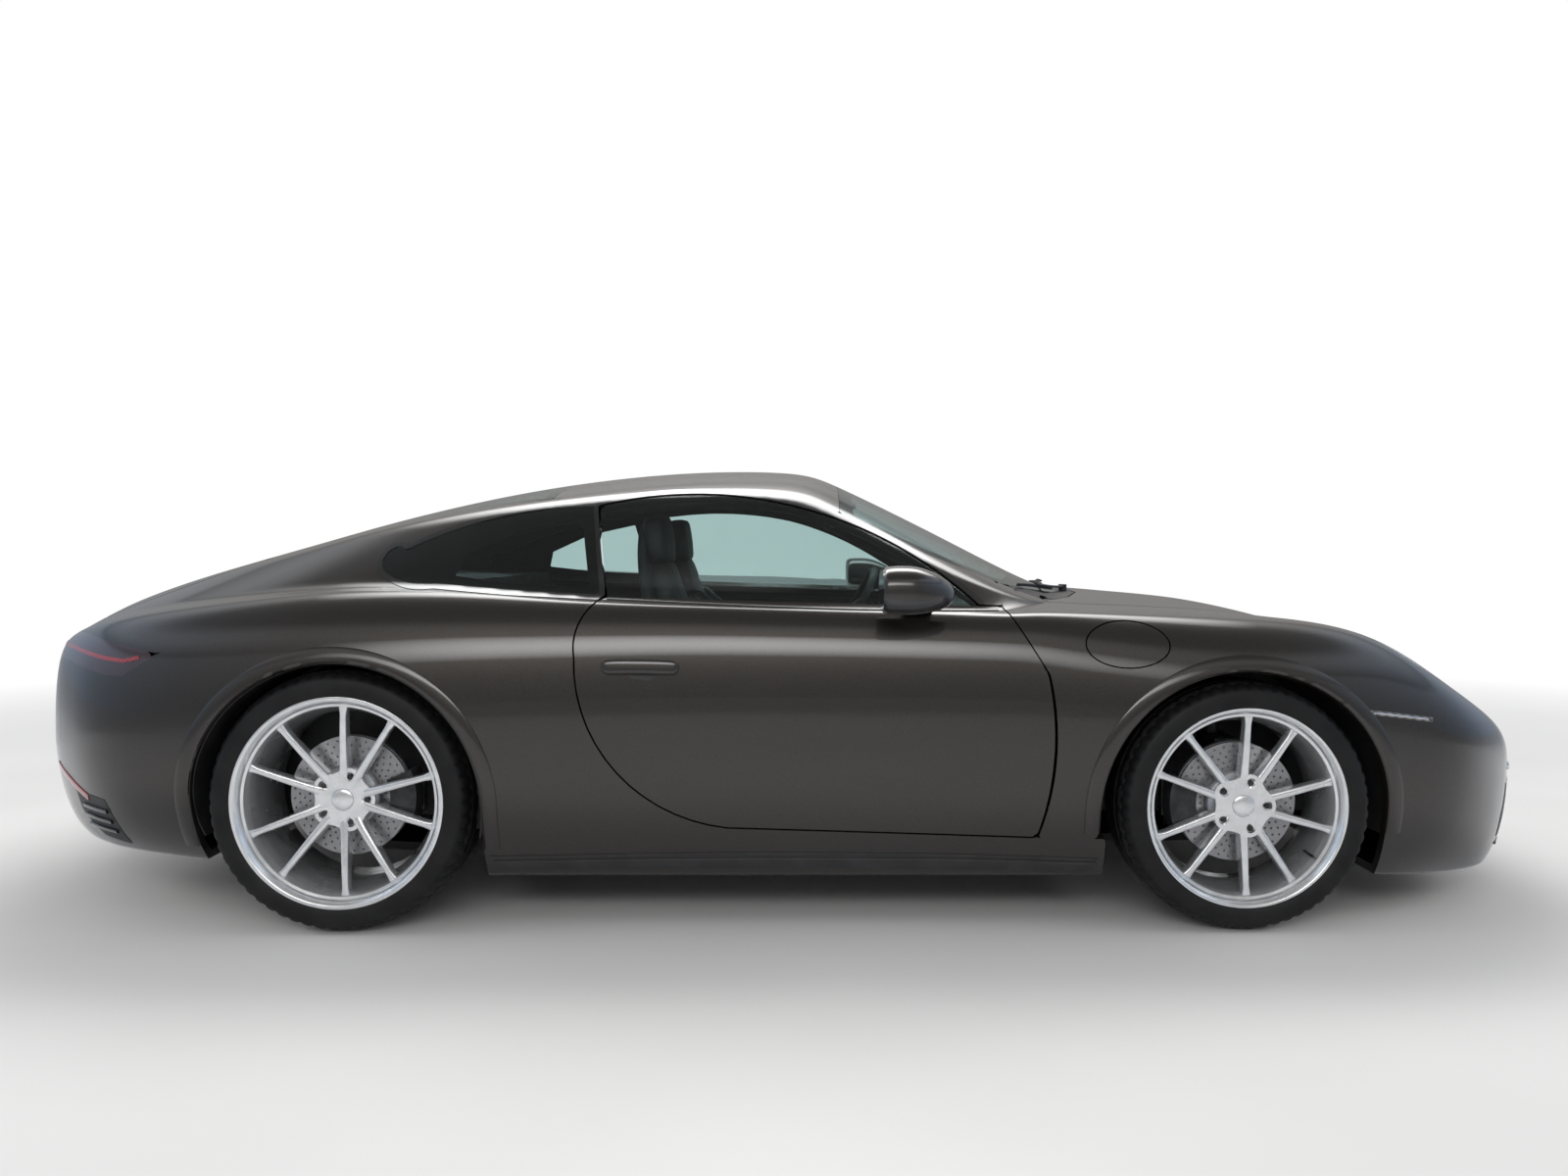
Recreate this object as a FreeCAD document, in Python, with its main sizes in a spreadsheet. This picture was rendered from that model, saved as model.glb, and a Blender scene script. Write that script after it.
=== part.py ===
import FreeCAD, Part
import math
import os

# Two-door rear-engined coupe, millimetres. +X forward, +Y to the car's left, +Z up.
# The origin is on the ground, at mid-length on the centreline.

os.makedirs("parts", exist_ok=True)
V = FreeCAD.Vector
doc = FreeCAD.newDocument("coupe")

# Driving dimensions

SIZES = {
    "length_all": 4518.0, "width_all": 1852.0, "wheelbase": 2450.0, "front_overhang": 1004.5,
    "skin": 24.0, "glass": 6.0, "door_wall": 128.0, "belt_wall": 84.0, "roof_wall": 38.0, "floor_wall": 74.0,
    "moving_gap": 7.0, "door_skin": 40.0, "door_step": 14.0, "recess": 12.0,
    "hinge_x": 722.0, "hinge_y": 858.0, "hinge_low": 390.0, "hinge_high": 600.0, "hinge_pin": 5.0,
    "running": 0.05, "sweep_rad": 30.5,
    "lid_pivot_x": 768.0, "lid_pivot_z": 879.0, "deck_pivot_x": -1582.0, "deck_pivot_depth": 7.0, "pivot_rad": 3.0,
    "pivot_sweep": 22.0,
    "flap_x": 936.0, "flap_z": 780.0, "flap_long": 112.0, "flap_high": 60.0, "flap_pivot_x": 1033.0,
    "flap_pin": 2.0, "flap_depth": 4.4,
    "cabin_rear": -930.0, "cabin_front": 760.0, "shelf_top": 941.0, "shelf_under": 917.0, "shelf_climb": 0.034,
    "arch_front_rad": 393.0, "arch_rear_rad": 393.0, "arch_front_z": 318.0, "arch_rear_z": 343.0,
    "liner_front_rad": 408.0, "arch_depth_front": 436.0, "arch_depth_rear": 560.0, "liner": 5.0,
    "lip_wide": 44.0, "lip_rise": 5.0, "lip_lap": 2.0, "lip_low_front": 262.0, "lip_low_rear": 225.0,
    "handle_rise": 12.0, "slat_slot": 26.0, "slat_step": 44.0, "intake_slot": 36.0, "intake_step": 56.0,
    "vent_slot": 26.0, "vent_step": 46.0, "tip_rad": 40.0, "tip_wall": 4.0, "tip_x": -2226.0, "tip_z": 268.0,
    "front_plane": 770.0, "rear_plane": 760.0,
    "front_tyre_rad": 340.0, "rear_tyre_rad": 358.0,
    "front_tyre_half": 121.0, "rear_tyre_half": 153.0,
    "front_rim_rad": 276.0, "rear_rim_rad": 288.0,
    "front_face": 52.0, "rear_face": 67.0,
    "bolt_circle": 130.0, "bolt_hole": 7.25, "cap_rad": 31.0,
    "disc_rad": 165.0, "disc_thick": 32.0, "stub_rad": 29.95, "hub_bore": 30.0,
    "kingpin_y": 690.0, "kingpin_rad": 11.95, "kingpin_bore": 12.0,
    "seat_y": 370.0, "seat_width": 500.0, "seat_x": 0.0,
    "steer_x": 262.0, "steer_z": 792.0, "steer_rad": 178.0, "steer_tilt": 24.0,
    "engine_long": 520.0, "engine_wide": 760.0, "engine_high": 400.0, "engine_x": -2010.0, "engine_z": 240.0,
    "mirror_x": 345.0, "mirror_y": 920.0, "mirror_z": 928.0, "mirror_long": 116.0, "mirror_half": 98.8,
    "mirror_high": 66.0,
    "jack_pad_rad": 32.0, "jack_pad_drop": 12.0, "jack_front_x": 700.0, "jack_rear_x": -690.0, "jack_y": 640.0,
    }

sheet = doc.addObject("Spreadsheet::Sheet", "sizes")
for row, (alias, value) in enumerate(SIZES.items(), 1):
    sheet.set(f"A{row}", alias)
    sheet.set(f"B{row}", str(value))
    sheet.setAlias(f"B{row}", alias)
doc.recompute()


def size(name):
    """The named value of the sheet, in mm."""
    return float(sheet.get(name))


FRONT_AXLE = size("length_all") / 2 - size("front_overhang")
REAR_AXLE = FRONT_AXLE - size("wheelbase")
WIDE = 1200.0
pieces = []

# Body sections from tail to nose. The half section has a flat floor out to the sill, a low side up to
# the widest point, a shoulder to the belt, the glass side to the rail and the crown to the centreline.
# Columns: x at the floor, side and top; floor height; sill half width; widest half width and height;
# belt half width and height; rail half width and height; height on the centreline.

SECTIONS = [
    # x_low  x_side  x_top  floor  sill  wide  z_wide belt z_belt rail z_rail top
    (-2259, -2259, -2259, 400, 90, 130, 470, 100, 560, 60, 575, 580),
    (-2225, -2240, -2215, 270, 220, 320, 470, 250, 650, 150, 672, 680),
    (-2160, -2190, -2165, 215, 400, 480, 470, 400, 715, 260, 745, 755),
    (-2080, -2110, -2110, 192, 520, 620, 480, 530, 770, 350, 805, 822),
    (-1950, -2000, -2020, 187, 640, 745, 495, 620, 815, 410, 860, 880),
    (-1770, -1810, -1810, 185, 740, 868, 525, 668, 862, 448, 930, 962),
    (-1480, -1480, -1480, 170, 800, 916, 550, 695, 905, 475, 1020, 1058),
    (-1195, -1195, -1195, 150, 812, 926, 560, 712, 928, 500, 1095, 1138),
    (-900, -900, -900, 140, 812, 918, 560, 737, 926, 545, 1145, 1208),
    (-600, -600, -600, 140, 812, 898, 560, 757, 906, 578, 1175, 1258),
    (-280, -280, -280, 140, 812, 882, 560, 766, 891, 594, 1195, 1287),
    (20, 20, 20, 140, 812, 876, 560, 768, 881, 588, 1182, 1285),
    (180, 190, 190, 140, 812, 874, 560, 768, 876, 585, 1120, 1236),
    (400, 420, 500, 140, 812, 874, 560, 768, 870, 665, 985, 1087),
    (600, 620, 830, 140, 812, 876, 560, 768, 864, 640, 890, 925),
    (740, 740, 970, 140, 812, 880, 560, 748, 868, 460, 892, 902),
    (1000, 1000, 1120, 142, 812, 893, 560, 705, 862, 420, 878, 889),
    (1254, 1254, 1330, 145, 810, 905, 560, 682, 852, 405, 858, 868),
    (1500, 1500, 1530, 143, 800, 893, 550, 668, 832, 405, 815, 822),
    (1690, 1700, 1740, 130, 770, 862, 530, 655, 775, 420, 745, 748),
    (1850, 1880, 1920, 118, 705, 818, 490, 640, 662, 420, 662, 668),
    (2040, 2040, 2070, 112, 600, 690, 445, 560, 568, 385, 585, 590),
    (2155, 2155, 2170, 112, 430, 540, 400, 440, 497, 300, 515, 520),
    (2225, 2225, 2232, 130, 290, 372, 360, 300, 445, 210, 460, 465),
    (2259, 2259, 2259, 180, 120, 180, 335, 140, 390, 80, 400, 402),
]

# Faces that share edges make the hull: each strip is quadratic round the section and cubic along the car.


def half_poles(section, inset):
    """The strips' poles of one half section, each strip a list, moved in by the named walls."""
    x_low, x_side, x_top, floor, sill, wide, z_wide, belt, z_belt, rail, z_rail, top = section
    floor += inset["floor"]
    sill -= inset["sill"]
    wide -= inset["side"]
    belt -= inset["belt"]
    rail -= inset["rail"]
    z_belt -= inset["shoulder"]
    z_rail -= inset["top"] * 0.6
    top -= inset["top"]
    shrink = 1 - inset["ends"] / (size("length_all") / 2)
    x_low, x_side, x_top = x_low * shrink, x_side * shrink, x_top * shrink
    x_glass = 0.75 * x_side + 0.25 * x_top
    x_rail = 0.5 * x_side + 0.5 * x_top
    x_crown = 0.15 * x_side + 0.85 * x_top
    bulge = 0.06 * (z_rail - z_belt)
    low = V(x_low, sill, floor)
    widest = V(x_side, wide, z_wide)
    shoulder = V(x_side, belt, z_belt)
    edge = V(x_rail, rail, z_rail)
    return [
        [V(x_low, 0, floor), low],
        [low, V(0.5 * x_low + 0.5 * x_side, wide, floor + 0.3 * (z_wide - floor)), widest],
        [widest, V(x_side, wide, z_belt), shoulder],
        [shoulder, V(x_glass, 0.5 * (belt + rail) + bulge, 0.5 * (z_belt + z_rail) + bulge), edge],
        [edge, V(x_crown, 0.6 * rail, top), V(x_top, 0, top)],
    ]


def firmed(points, rounds=3):
    """Poles of a uniform cubic spline that passes through the points: p = (a + 4b + c) / 6, solved
    by repeated correction."""
    poles = list(points)
    for _ in range(rounds):
        met = [poles[0]]
        for before, here, after in zip(poles, poles[1:], poles[2:]):
            met.append((before + here * 4 + after) * (1 / 6))
        met.append(poles[-1])
        poles = [pole + (goal - now) for pole, goal, now in zip(poles, points, met)]
    return poles


def strip_face(columns):
    """The face of one strip from its columns of poles, each column firmed along the car."""
    columns = [firmed(column) for column in columns]
    rows = [list(row) for row in zip(*columns)]
    count, across = len(rows), len(columns)
    surface = Part.BSplineSurface()
    surface.buildFromPolesMultsKnots(rows, [4] + [1] * (count - 4) + [4], [across, across],
                                     list(range(count - 2)), [0, 1], False, False, 3, across - 1)
    return surface.toShape()


def mirrored(shape):
    """The shape on the other side of the car."""
    return shape.mirror(V(0, 0, 0), V(0, 1, 0))


def inset_of(floor=0.0, sill=0.0, side=0.0, belt=0.0, rail=0.0, shoulder=0.0, top=0.0, ends=0.0):
    """Named wall thicknesses for a hull inside the outer one."""
    return dict(floor=floor, sill=sill, side=side, belt=belt, rail=rail, shoulder=shoulder, top=top, ends=ends)


def even_inset(wall):
    """The same wall all round."""
    return inset_of(wall, wall, wall, wall, wall * 0.8, wall * 0.75, wall, wall)


def hull(inset):
    """The closed body hull whose sections are moved in by the inset."""
    sections = [half_poles(section, inset) for section in SECTIONS]
    faces = []
    for strip in range(5):
        columns = list(zip(*[poles[strip] for poles in sections]))
        face = strip_face([list(column) for column in columns])
        faces += [face, mirrored(face)]
    for end in (0, -1):
        rim = []
        for poles in sections[end]:
            if len(poles) == 2:
                edge = Part.makeLine(poles[0], poles[1])
            else:
                curve = Part.BezierCurve()
                curve.setPoles(poles)
                edge = curve.toShape()
            rim += [edge, mirrored(edge)]
        faces.append(Part.Face(Part.Wire(Part.__sortEdges__(rim))))
    shell = Part.makeShell(faces)
    shell.sewShape()
    solid = Part.makeSolid(shell)
    if solid.Volume < 0:
        solid.reverse()
    return solid


# Outlines: a start point, then straight steps (u, v) and arcs (through u, v, to u, v)

PLANES = {
    "side": lambda u, v: V(u, 0, v),
    "plan": lambda u, v: V(u, v, 0),
    "front": lambda u, v: V(0, u, v),
}


def outline(plane, start, *steps):
    """The closed flat face of an outline in the named plane."""
    place = PLANES[plane]
    here, edges = place(*start), []
    for step in steps:
        there = place(*step[-2:])
        if len(step) == 4:
            edges.append(Part.Arc(here, place(*step[:2]), there).toShape())
        else:
            edges.append(Part.makeLine(here, there))
        here = there
    if (here - place(*start)).Length > 1e-6:
        edges.append(Part.makeLine(here, place(*start)))
    return Part.Face(Part.Wire(edges))


def side_prism(face, near=0.0, far=WIDE):
    """A side outline pushed out to the left, from one half width to another."""
    moved = face.copy()
    moved.translate(V(0, near, 0))
    return moved.extrude(V(0, far - near, 0))


def across(face):
    """A side outline pushed right through the car."""
    return side_prism(face, -WIDE, WIDE)


def upright(face, low, high):
    """A plan outline pushed up between two heights."""
    moved = face.copy()
    moved.translate(V(0, 0, low))
    return moved.extrude(V(0, 0, high - low))


def block(x0, x1, y0, y1, z0, z1):
    """A plain block between its corners."""
    return Part.makeBox(x1 - x0, y1 - y0, z1 - z0, V(x0, y0, z0))


def grown(face, by):
    """The outline with a margin all round."""
    return face.makeOffset2D(by, join=2)


def both(shape):
    """A left shape with its mirror image, as one compound."""
    return Part.makeCompound([shape, mirrored(shape)])


def piece(name, shape):
    """Keeps a shape as a named sub-part of the document."""
    item = doc.addObject("Part::Feature", name)
    item.Label = name
    item.Shape = shape
    pieces.append(item)
    return item


def pair(name, shape):
    """A left sub-part and its mirror image on the right."""
    piece(f"{name}_left", shape)
    piece(f"{name}_right", mirrored(shape))


# Hulls and the body's walls

outer = hull(inset_of())
lined = hull(even_inset(size("skin")))
glazed = hull(even_inset(size("glass")))
tub_hull = hull(even_inset(size("skin") + size("moving_gap")))
cabin_hull = hull(inset_of(size("floor_wall"), size("door_wall"), size("door_wall"), size("belt_wall"),
                           size("roof_wall"), 10, size("roof_wall"), size("skin")))



def shelf_point(x, front_z):
    """A point of the rear shelf's line, which climbs to the rear from the height at the cabin's back."""
    return x, front_z + size("shelf_climb") * (size("cabin_rear") - x)


shelf_top, shelf_under = size("shelf_top"), size("shelf_under")
cabin_profile = outline("side", (size("cabin_rear"), 100), (size("cabin_front"), 100), (size("cabin_front"), 800),
                        (940, 1000), (940, 1500), (-1690, 1500), shelf_point(-1690, shelf_top),
                        shelf_point(size("cabin_rear"), shelf_top))
cabin_prism = across(cabin_profile)
cabin_space = cabin_hull.common(cabin_prism)
tail_space = lined.common(across(outline("side", (size("cabin_rear"), 0), shelf_point(size("cabin_rear"), shelf_under),
                                         shelf_point(-1690, shelf_under), (-1690, 1500), (-2400, 1500), (-2400, 0))))
shelf_face = outline("side", (size("cabin_rear"), 100), shelf_point(size("cabin_rear"), shelf_top),
                     shelf_point(-1640, shelf_top), shelf_point(-1640, shelf_under),
                     shelf_point(-965, shelf_under), (-965, 100))
rear_wall = lined.common(across(shelf_face))
walls = outer.cut(cabin_space).cut(tail_space).cut(rear_wall)
panels = outer.cut(lined)
ahead = block(size("cabin_front"), 2400, -WIDE, WIDE, -100, WIDE * 2)

# Side outlines, from tail to nose

gap = size("moving_gap")
door_face = outline("side", (611, 876), (718, 700), (736, 480, 690, 256), (-150, 284), (-424, 416, -558, 749),
                    (-548, 840, -493, 905))
pane_face = outline("side", (-487, 905), (-530, 1160), (-229, 1193, 70, 1149), (312, 1052, 546, 878))
quarter_face = outline("side", (-508, 911), (-548, 1160), (-860, 1122, -1087, 1036), (-1150, 1000, -1131, 972),
                       (-1060, 944, -974, 941), (-760, 924))
lamp_face = outline("side", (-1692, 757), (-1861, 785), (-1950, 800), (-2400, 806), (-2400, 738), (-2007, 722),
                    (-1852, 697), (-1789, 694))
rear_bumper_face = outline("side", (-1280, 660), (-1357, 723), (-1431, 750), (-1619, 769), (-1692, 757), (-1789, 694),
                           (-1852, 697), (-2007, 722), (-2400, 738), (-2400, 0), (-1400, 0), (-1400, 216))
front_bumper_face = outline("side", (1450, 620), (1574, 602), (1835, 565), (1885, 590), (1965, 650), (2400, 650),
                            (2400, 0), (1400, 0), (1400, 216))
fender_face = outline("side", (617, 876), (723, 700), (741, 480, 696, 250), (880, 250), (1450, 620), (1574, 602),
                      (1835, 565), (1885, 590), (1965, 650), (2100, 700), (2100, 1000), (617, 1000))
side_face = outline("side", (880, 0), (880, 250), (696, 250), (741, 480, 723, 700), (617, 876), (617, 1000),
                    (760, 1000), (760, 1400), (-2400, 1400), (-2400, 806), (-1950, 800), (-1861, 785), (-1692, 757),
                    (-1619, 769), (-1431, 750), (-1357, 723), (-1280, 660), (-1400, 216), (-1400, 0))

# Plan outlines of the middle panels, drawn on the left half and mirrored


def plan_panel(*half):
    """A plan outline from its left half, given as points from front to rear."""
    points = list(half) + [(x, -y) for x, y in reversed(half) if y]
    return outline("plan", points[0], *points[1:])


screen_plan = plan_panel((893, 0), (872, 250), (800, 430), (640, 598), (430, 612), (300, 590), (166, 556), (172, 280),
                         (176, 0))
cowl_plan = plan_panel((951, 0), (932, 262), (868, 446), (757, 577), (640, 598), (800, 430), (872, 250), (893, 0))
roof_plan = plan_panel((176, 0), (172, 280), (166, 556), (-200, 560), (-680, 520), (-668, 260), (-664, 0))
rear_glass_plan = plan_panel((-664, 0), (-668, 260), (-680, 520), (-1100, 470), (-1560, 400), (-1624, 330),
                             (-1638, 0))
engine_lid_plan = plan_panel((-1652, 0), (-1638, 330), (-1570, 412), (-1700, 460), (-1860, 520), (-1990, 560),
                             (-2070, 400), (-2120, 200), (-2136, 0))
lid_plan = plan_panel((1966, 0), (1950, 220), (1900, 350), (1820, 425), (1600, 478), (1300, 520), (1000, 565),
                      (860, 590), (757, 577), (868, 446), (932, 262), (951, 0))

REAR_ARCH = REAR_AXLE - 8


def arch_opening(axle_x, radius, depth, axle_z):
    """A left wheel arch's opening from a depth outwards: round above the axle's height, straight below."""
    crown = Part.makeCylinder(radius, WIDE, V(axle_x, depth, axle_z), V(0, 1, 0))
    return crown.fuse(block(axle_x - radius, axle_x + radius, depth, WIDE, -50, axle_z))


front_arch = arch_opening(FRONT_AXLE, size("arch_front_rad"), size("arch_depth_front"), size("arch_front_z"))
rear_arch = arch_opening(REAR_ARCH, size("arch_rear_rad"), size("arch_depth_rear"), size("arch_rear_z"))
arches = both(front_arch).fuse(both(rear_arch))

# Forms raised from the skin or sunk into it

recessed = hull(even_inset(size("recess")))
lip_hull = hull(even_inset(-size("lip_rise")))
handle_hull = hull(even_inset(-size("handle_rise")))
skin_depth = outer.cut(recessed)


def arch_lip(axle_x, radius, axle_z, low):
    """The raised lip round a left wheel arch, down to the low height."""
    ring = arch_opening(axle_x, radius + size("lip_wide"), 500, axle_z)
    ring = ring.cut(arch_opening(axle_x, radius - size("lip_lap"), 400, axle_z))
    ring = ring.cut(block(axle_x - 600, axle_x + 600, 0, WIDE, -100, low))
    return ring.common(lip_hull).cut(recessed)


def lengthwise(face, rear, front):
    """A front outline pushed along the car between two lengths."""
    moved = face.copy()
    moved.translate(V(rear, 0, 0))
    return moved.extrude(V(front - rear, 0, 0))


def intake_slots():
    """The slots of the front intakes, one on each side and one in the middle, as sinks in the skin."""
    parts = []
    for y_in, y_out, z_low, count in INTAKES:
        for number in range(count):
            low = z_low + number * size("intake_step")
            high = low + size("intake_slot")
            face = outline("front", (y_in, low), (y_out, low + 8), (y_out, high - 6), (y_in, high))
            parts.append(lengthwise(face, 1700, 2400))
    return Part.makeCompound(parts)


def vent_slots():
    """The three slots of the left vent behind the rear wheel, as sinks in the skin."""
    parts = []
    for number in range(3):
        low = VENT_LOW + number * size("vent_step")
        high = low + size("vent_slot")
        face = outline("side", (VENT_FRONT, low), (VENT_FRONT - 4, high), (VENT_REAR, high + 16), (VENT_REAR + 6, low + 16))
        parts.append(side_prism(face, 500))
    return Part.makeCompound(parts)


INTAKES = [
    # inner and outer half width, lowest height, slots
    (330, 590, 190, 3),
    (20, 250, 232, 2),
]
VENT_LOW, VENT_FRONT, VENT_REAR = 232, -1850, -1985
front_lip = arch_lip(FRONT_AXLE, size("arch_front_rad"), size("arch_front_z"), size("lip_low_front"))
rear_lip = arch_lip(REAR_ARCH, size("arch_rear_rad"), size("arch_rear_z"), size("lip_low_rear"))

# Headlamps look forward, up and outward: an oval pushed along its own axis

lamp_axis = V(0.60, 0.30, 0.74)
lamp_turn = FreeCAD.Rotation(V(0, 0, 1), lamp_axis)


def headlamp_oval(long, wide):
    """The oval bore of a left headlamp."""
    oval = Part.Ellipse(V(0, 0, 0), long, wide).toShape()
    face = Part.Face(Part.Wire(oval))
    body = face.extrude(V(0, 0, 420))
    forward = lamp_turn.inverted().multVec(V(1, 0, -0.8))
    angle = math.degrees(math.atan2(forward.y, forward.x))
    body.rotate(V(0, 0, 0), V(0, 0, 1), angle)
    body.Placement = FreeCAD.Placement(V(1742, 640, 712) - lamp_axis * 210, lamp_turn).multiply(body.Placement)
    return body


lamp_bore = headlamp_oval(168, 112)

front_mid = upright(lid_plan, 560, 1200)
lid_hole = upright(grown(lid_plan, gap), 560, 1200)
engine_hole = upright(grown(engine_lid_plan, gap), 780, 1200)
cabin_low = block(size("cabin_rear"), size("cabin_front"), -682, 682, 0, 216)

# Fixed panels

door_hole = side_prism(grown(door_face, gap))
pane_hole = side_prism(grown(pane_face, gap))
quarter_hole = side_prism(quarter_face)


def flap_prism(long, high):
    """The fuel flap's oval pushed out to the right side."""
    curve = Part.Ellipse(V(0, 0, 0), long, high)
    face = Part.Face(Part.Wire(curve.toShape()))
    body = face.extrude(V(0, 0, WIDE))
    body.rotate(V(0, 0, 0), V(1, 0, 0), 90)
    body.translate(V(size("flap_x"), -600, size("flap_z")))
    return body


top_parts = [upright(face, low, 1500) for face, low in
             ((screen_plan, 800), (cowl_plan, 800), (roof_plan, 1000), (rear_glass_plan, 900))]
side_region = side_prism(side_face, 0).cut(Part.makeCompound(top_parts)).cut(engine_hole)
side_region = side_region.cut(door_hole).cut(pane_hole).cut(quarter_hole).cut(front_arch).cut(rear_arch)
floor_cut = block(-2400, 2400, -682, 682, 0, 216)
hinge_axis = V(size("hinge_x"), size("hinge_y"), 0)
sweep = Part.makeCylinder(size("sweep_rad"), 520, hinge_axis + V(0, 0, 230))
hinge_heights = (size("hinge_low"), size("hinge_high"))


def hinge_brackets():
    """The fixed eyes of the door hinges, on arms that reach forward and inward to the hinge pillar."""
    parts = []
    for height in hinge_heights:
        eye = Part.makeCylinder(9, 18, hinge_axis + V(0, 0, height - 9))
        arm = block(0, 52, -8, 3, -9, 9)
        arm.rotate(V(0, 0, 0), V(0, 0, 1), -50)
        arm.translate(hinge_axis + V(0, 0, height))
        bore = Part.makeCylinder(size("hinge_pin") + size("running"), 40, hinge_axis + V(0, 0, height - 20))
        parts.append(eye.fuse(arm).cut(bore))
    return parts


def hinge_pockets():
    """The room in the door's front edge for each fixed eye and its arm."""
    parts = []
    for height in hinge_heights:
        room = Part.makeCylinder(15, 30, hinge_axis + V(0, 0, height - 15))
        parts.append(room.fuse(block(size("hinge_x"), size("hinge_x") + 40, size("hinge_y") - 60, size("hinge_y") + 10,
                                     height - 15, height + 15)))
    return parts


def hinge_pins():
    """The pins that cross the door's pockets."""
    return [Part.makeCylinder(size("hinge_pin"), 44, hinge_axis + V(0, 0, height - 22)) for height in hinge_heights]


def skin_height(x, y):
    """The height of the body's top surface over a point of the plan."""
    line = outer.common(Part.makeLine(V(x, y, 500), V(x, y, 1500)))
    return line.BoundBox.ZMax


def skin_reach(x, z):
    """The half width of the body at a length and height."""
    line = outer.common(Part.makeLine(V(x, 300, z), V(x, WIDE, z)))
    return line.BoundBox.YMax


def lid_pivot(rad, reach, start=562):
    """The front lid's left pivot, across the car."""
    return Part.makeCylinder(rad, reach, V(size("lid_pivot_x"), start, size("lid_pivot_z")), V(0, 1, 0))


deck_z = skin_height(size("deck_pivot_x"), 416) - size("deck_pivot_depth")


def deck_pivot(rad, reach, start=402):
    """The engine lid's left pivot, across the car."""
    return Part.makeCylinder(rad, reach, V(size("deck_pivot_x"), start, deck_z), V(0, 1, 0))


flap_y = -skin_reach(size("flap_pivot_x"), size("flap_z"))
flap_line = V(0, skin_reach(size("flap_pivot_x"), size("flap_z") - 30) - skin_reach(size("flap_pivot_x"),
              size("flap_z") + 30), 60).normalize()
flap_inward = V(0, flap_line.z, -flap_line.y)
flap_point = V(size("flap_pivot_x"), flap_y, size("flap_z")) + flap_inward * size("flap_depth")
print("deck pivot z", deck_z, "flap point", flap_point, "line", flap_line)


def flap_pivot(rad, reach):
    """The fuel flap's pivot, reaching both ways along its line."""
    return Part.makeCylinder(rad, reach * 2, flap_point - flap_line * reach, flap_line)


pillar = walls.common(lined).common(side_prism(fender_face, 600)).common(
    block(600, size("cabin_front"), 600, WIDE, 216, 845))
tail_floor = block(size("cabin_rear") - 700, size("cabin_rear"), 0, 560, 0, 900)
window_foot = block(-1655, -1636, 0, 430, 900, 968)
side_frame = walls.common(side_region.cut(ahead)).fuse(panels.common(side_region.common(ahead)))
side_frame = side_frame.cut(floor_cut).cut(tail_floor).cut(window_foot)
side_frame = side_frame.cut(deck_pivot(size("pivot_rad") + size("running"), 40))
side_frame = side_frame.cut(deck_pivot(size("pivot_sweep"), 60, 362))
side_frame = side_frame.fuse(pillar.cut(sweep)).cut(upright(cowl_plan, 800, 1500))
side_frame = side_frame.fuse(rear_lip.common(side_prism(side_face)))
for bracket in hinge_brackets():
    side_frame = side_frame.fuse(bracket)
pair("side_frame", side_frame)
piece("roof_panel", walls.common(upright(roof_plan, 1000, 1500)))
floor_pan = walls.common(cabin_low).cut(arches)
for pad_x in (size("jack_front_x"), size("jack_rear_x")):
    for pad_y in (size("jack_y"), -size("jack_y")):
        low = SECTIONS[10][3] - size("jack_pad_drop")
        floor_pan = floor_pan.fuse(Part.makeCylinder(size("jack_pad_rad"), 40, V(pad_x, pad_y, low)))
piece("floor_pan", floor_pan)
cowl = panels.common(upright(cowl_plan, 800, 1500)).cut(lid_hole).cut(both(lid_pivot(size("pivot_sweep"), 85, 500)))
piece("cowl_panel", cowl)
glass_skin = outer.cut(glazed)
piece("windscreen", glass_skin.common(upright(screen_plan, 800, 1500)))
piece("rear_window", glass_skin.common(upright(rear_glass_plan, 900, 1500)))
pair("quarter_glass", glass_skin.common(quarter_hole))

fender_region = side_prism(fender_face, 0).cut(front_arch).cut(lid_hole).cut(lamp_bore)
fender_region = fender_region.cut(upright(cowl_plan, 800, 1500)).cut(upright(screen_plan, 800, 1500))
fender = panels.common(fender_region).cut(floor_cut).cut(sweep)
fender = fender.cut(lid_pivot(size("pivot_rad") + size("running"), 33))
fender = fender.fuse(front_lip.common(side_prism(fender_face)))
piece("front_fender_left", fender)
flap_hole = flap_prism(size("flap_long") + gap, size("flap_high") + gap)
fender_right = mirrored(fender).cut(flap_hole).cut(flap_pivot(size("flap_pin") + size("running"), 44))
piece("front_fender_right", fender_right)
front_bumper = panels.common(across(front_bumper_face)).cut(arches).cut(both(lamp_bore)).cut(lid_hole)
nose_lip = front_lip.common(side_prism(front_bumper_face))
front_bumper = front_bumper.cut(both(skin_depth.common(intake_slots()))).fuse(nose_lip).fuse(mirrored(nose_lip))
piece("front_bumper", front_bumper)
rear_bumper = panels.common(across(rear_bumper_face)).cut(arches)
tail_lip = rear_lip.common(side_prism(rear_bumper_face))
rear_bumper = rear_bumper.cut(both(skin_depth.common(vent_slots()))).fuse(tail_lip).fuse(mirrored(tail_lip))
for tip_y in (-300, -205, 205, 300):
    pipe = Part.makeCylinder(size("tip_rad"), 110, V(size("tip_x"), tip_y, size("tip_z")), V(1, 0, 0))
    bore = Part.makeCylinder(size("tip_rad") - size("tip_wall"), 70, V(size("tip_x"), tip_y, size("tip_z")), V(1, 0, 0))
    rear_bumper = rear_bumper.fuse(pipe).cut(bore)
piece("rear_bumper", rear_bumper)
piece("tail_lamp_bar", panels.common(across(lamp_face)).cut(engine_hole))
pair("headlamp", panels.common(lamp_bore).cut(lid_hole))

# Doors, with the frameless pane standing on the belt and the mirror on the pane's front corner

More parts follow.
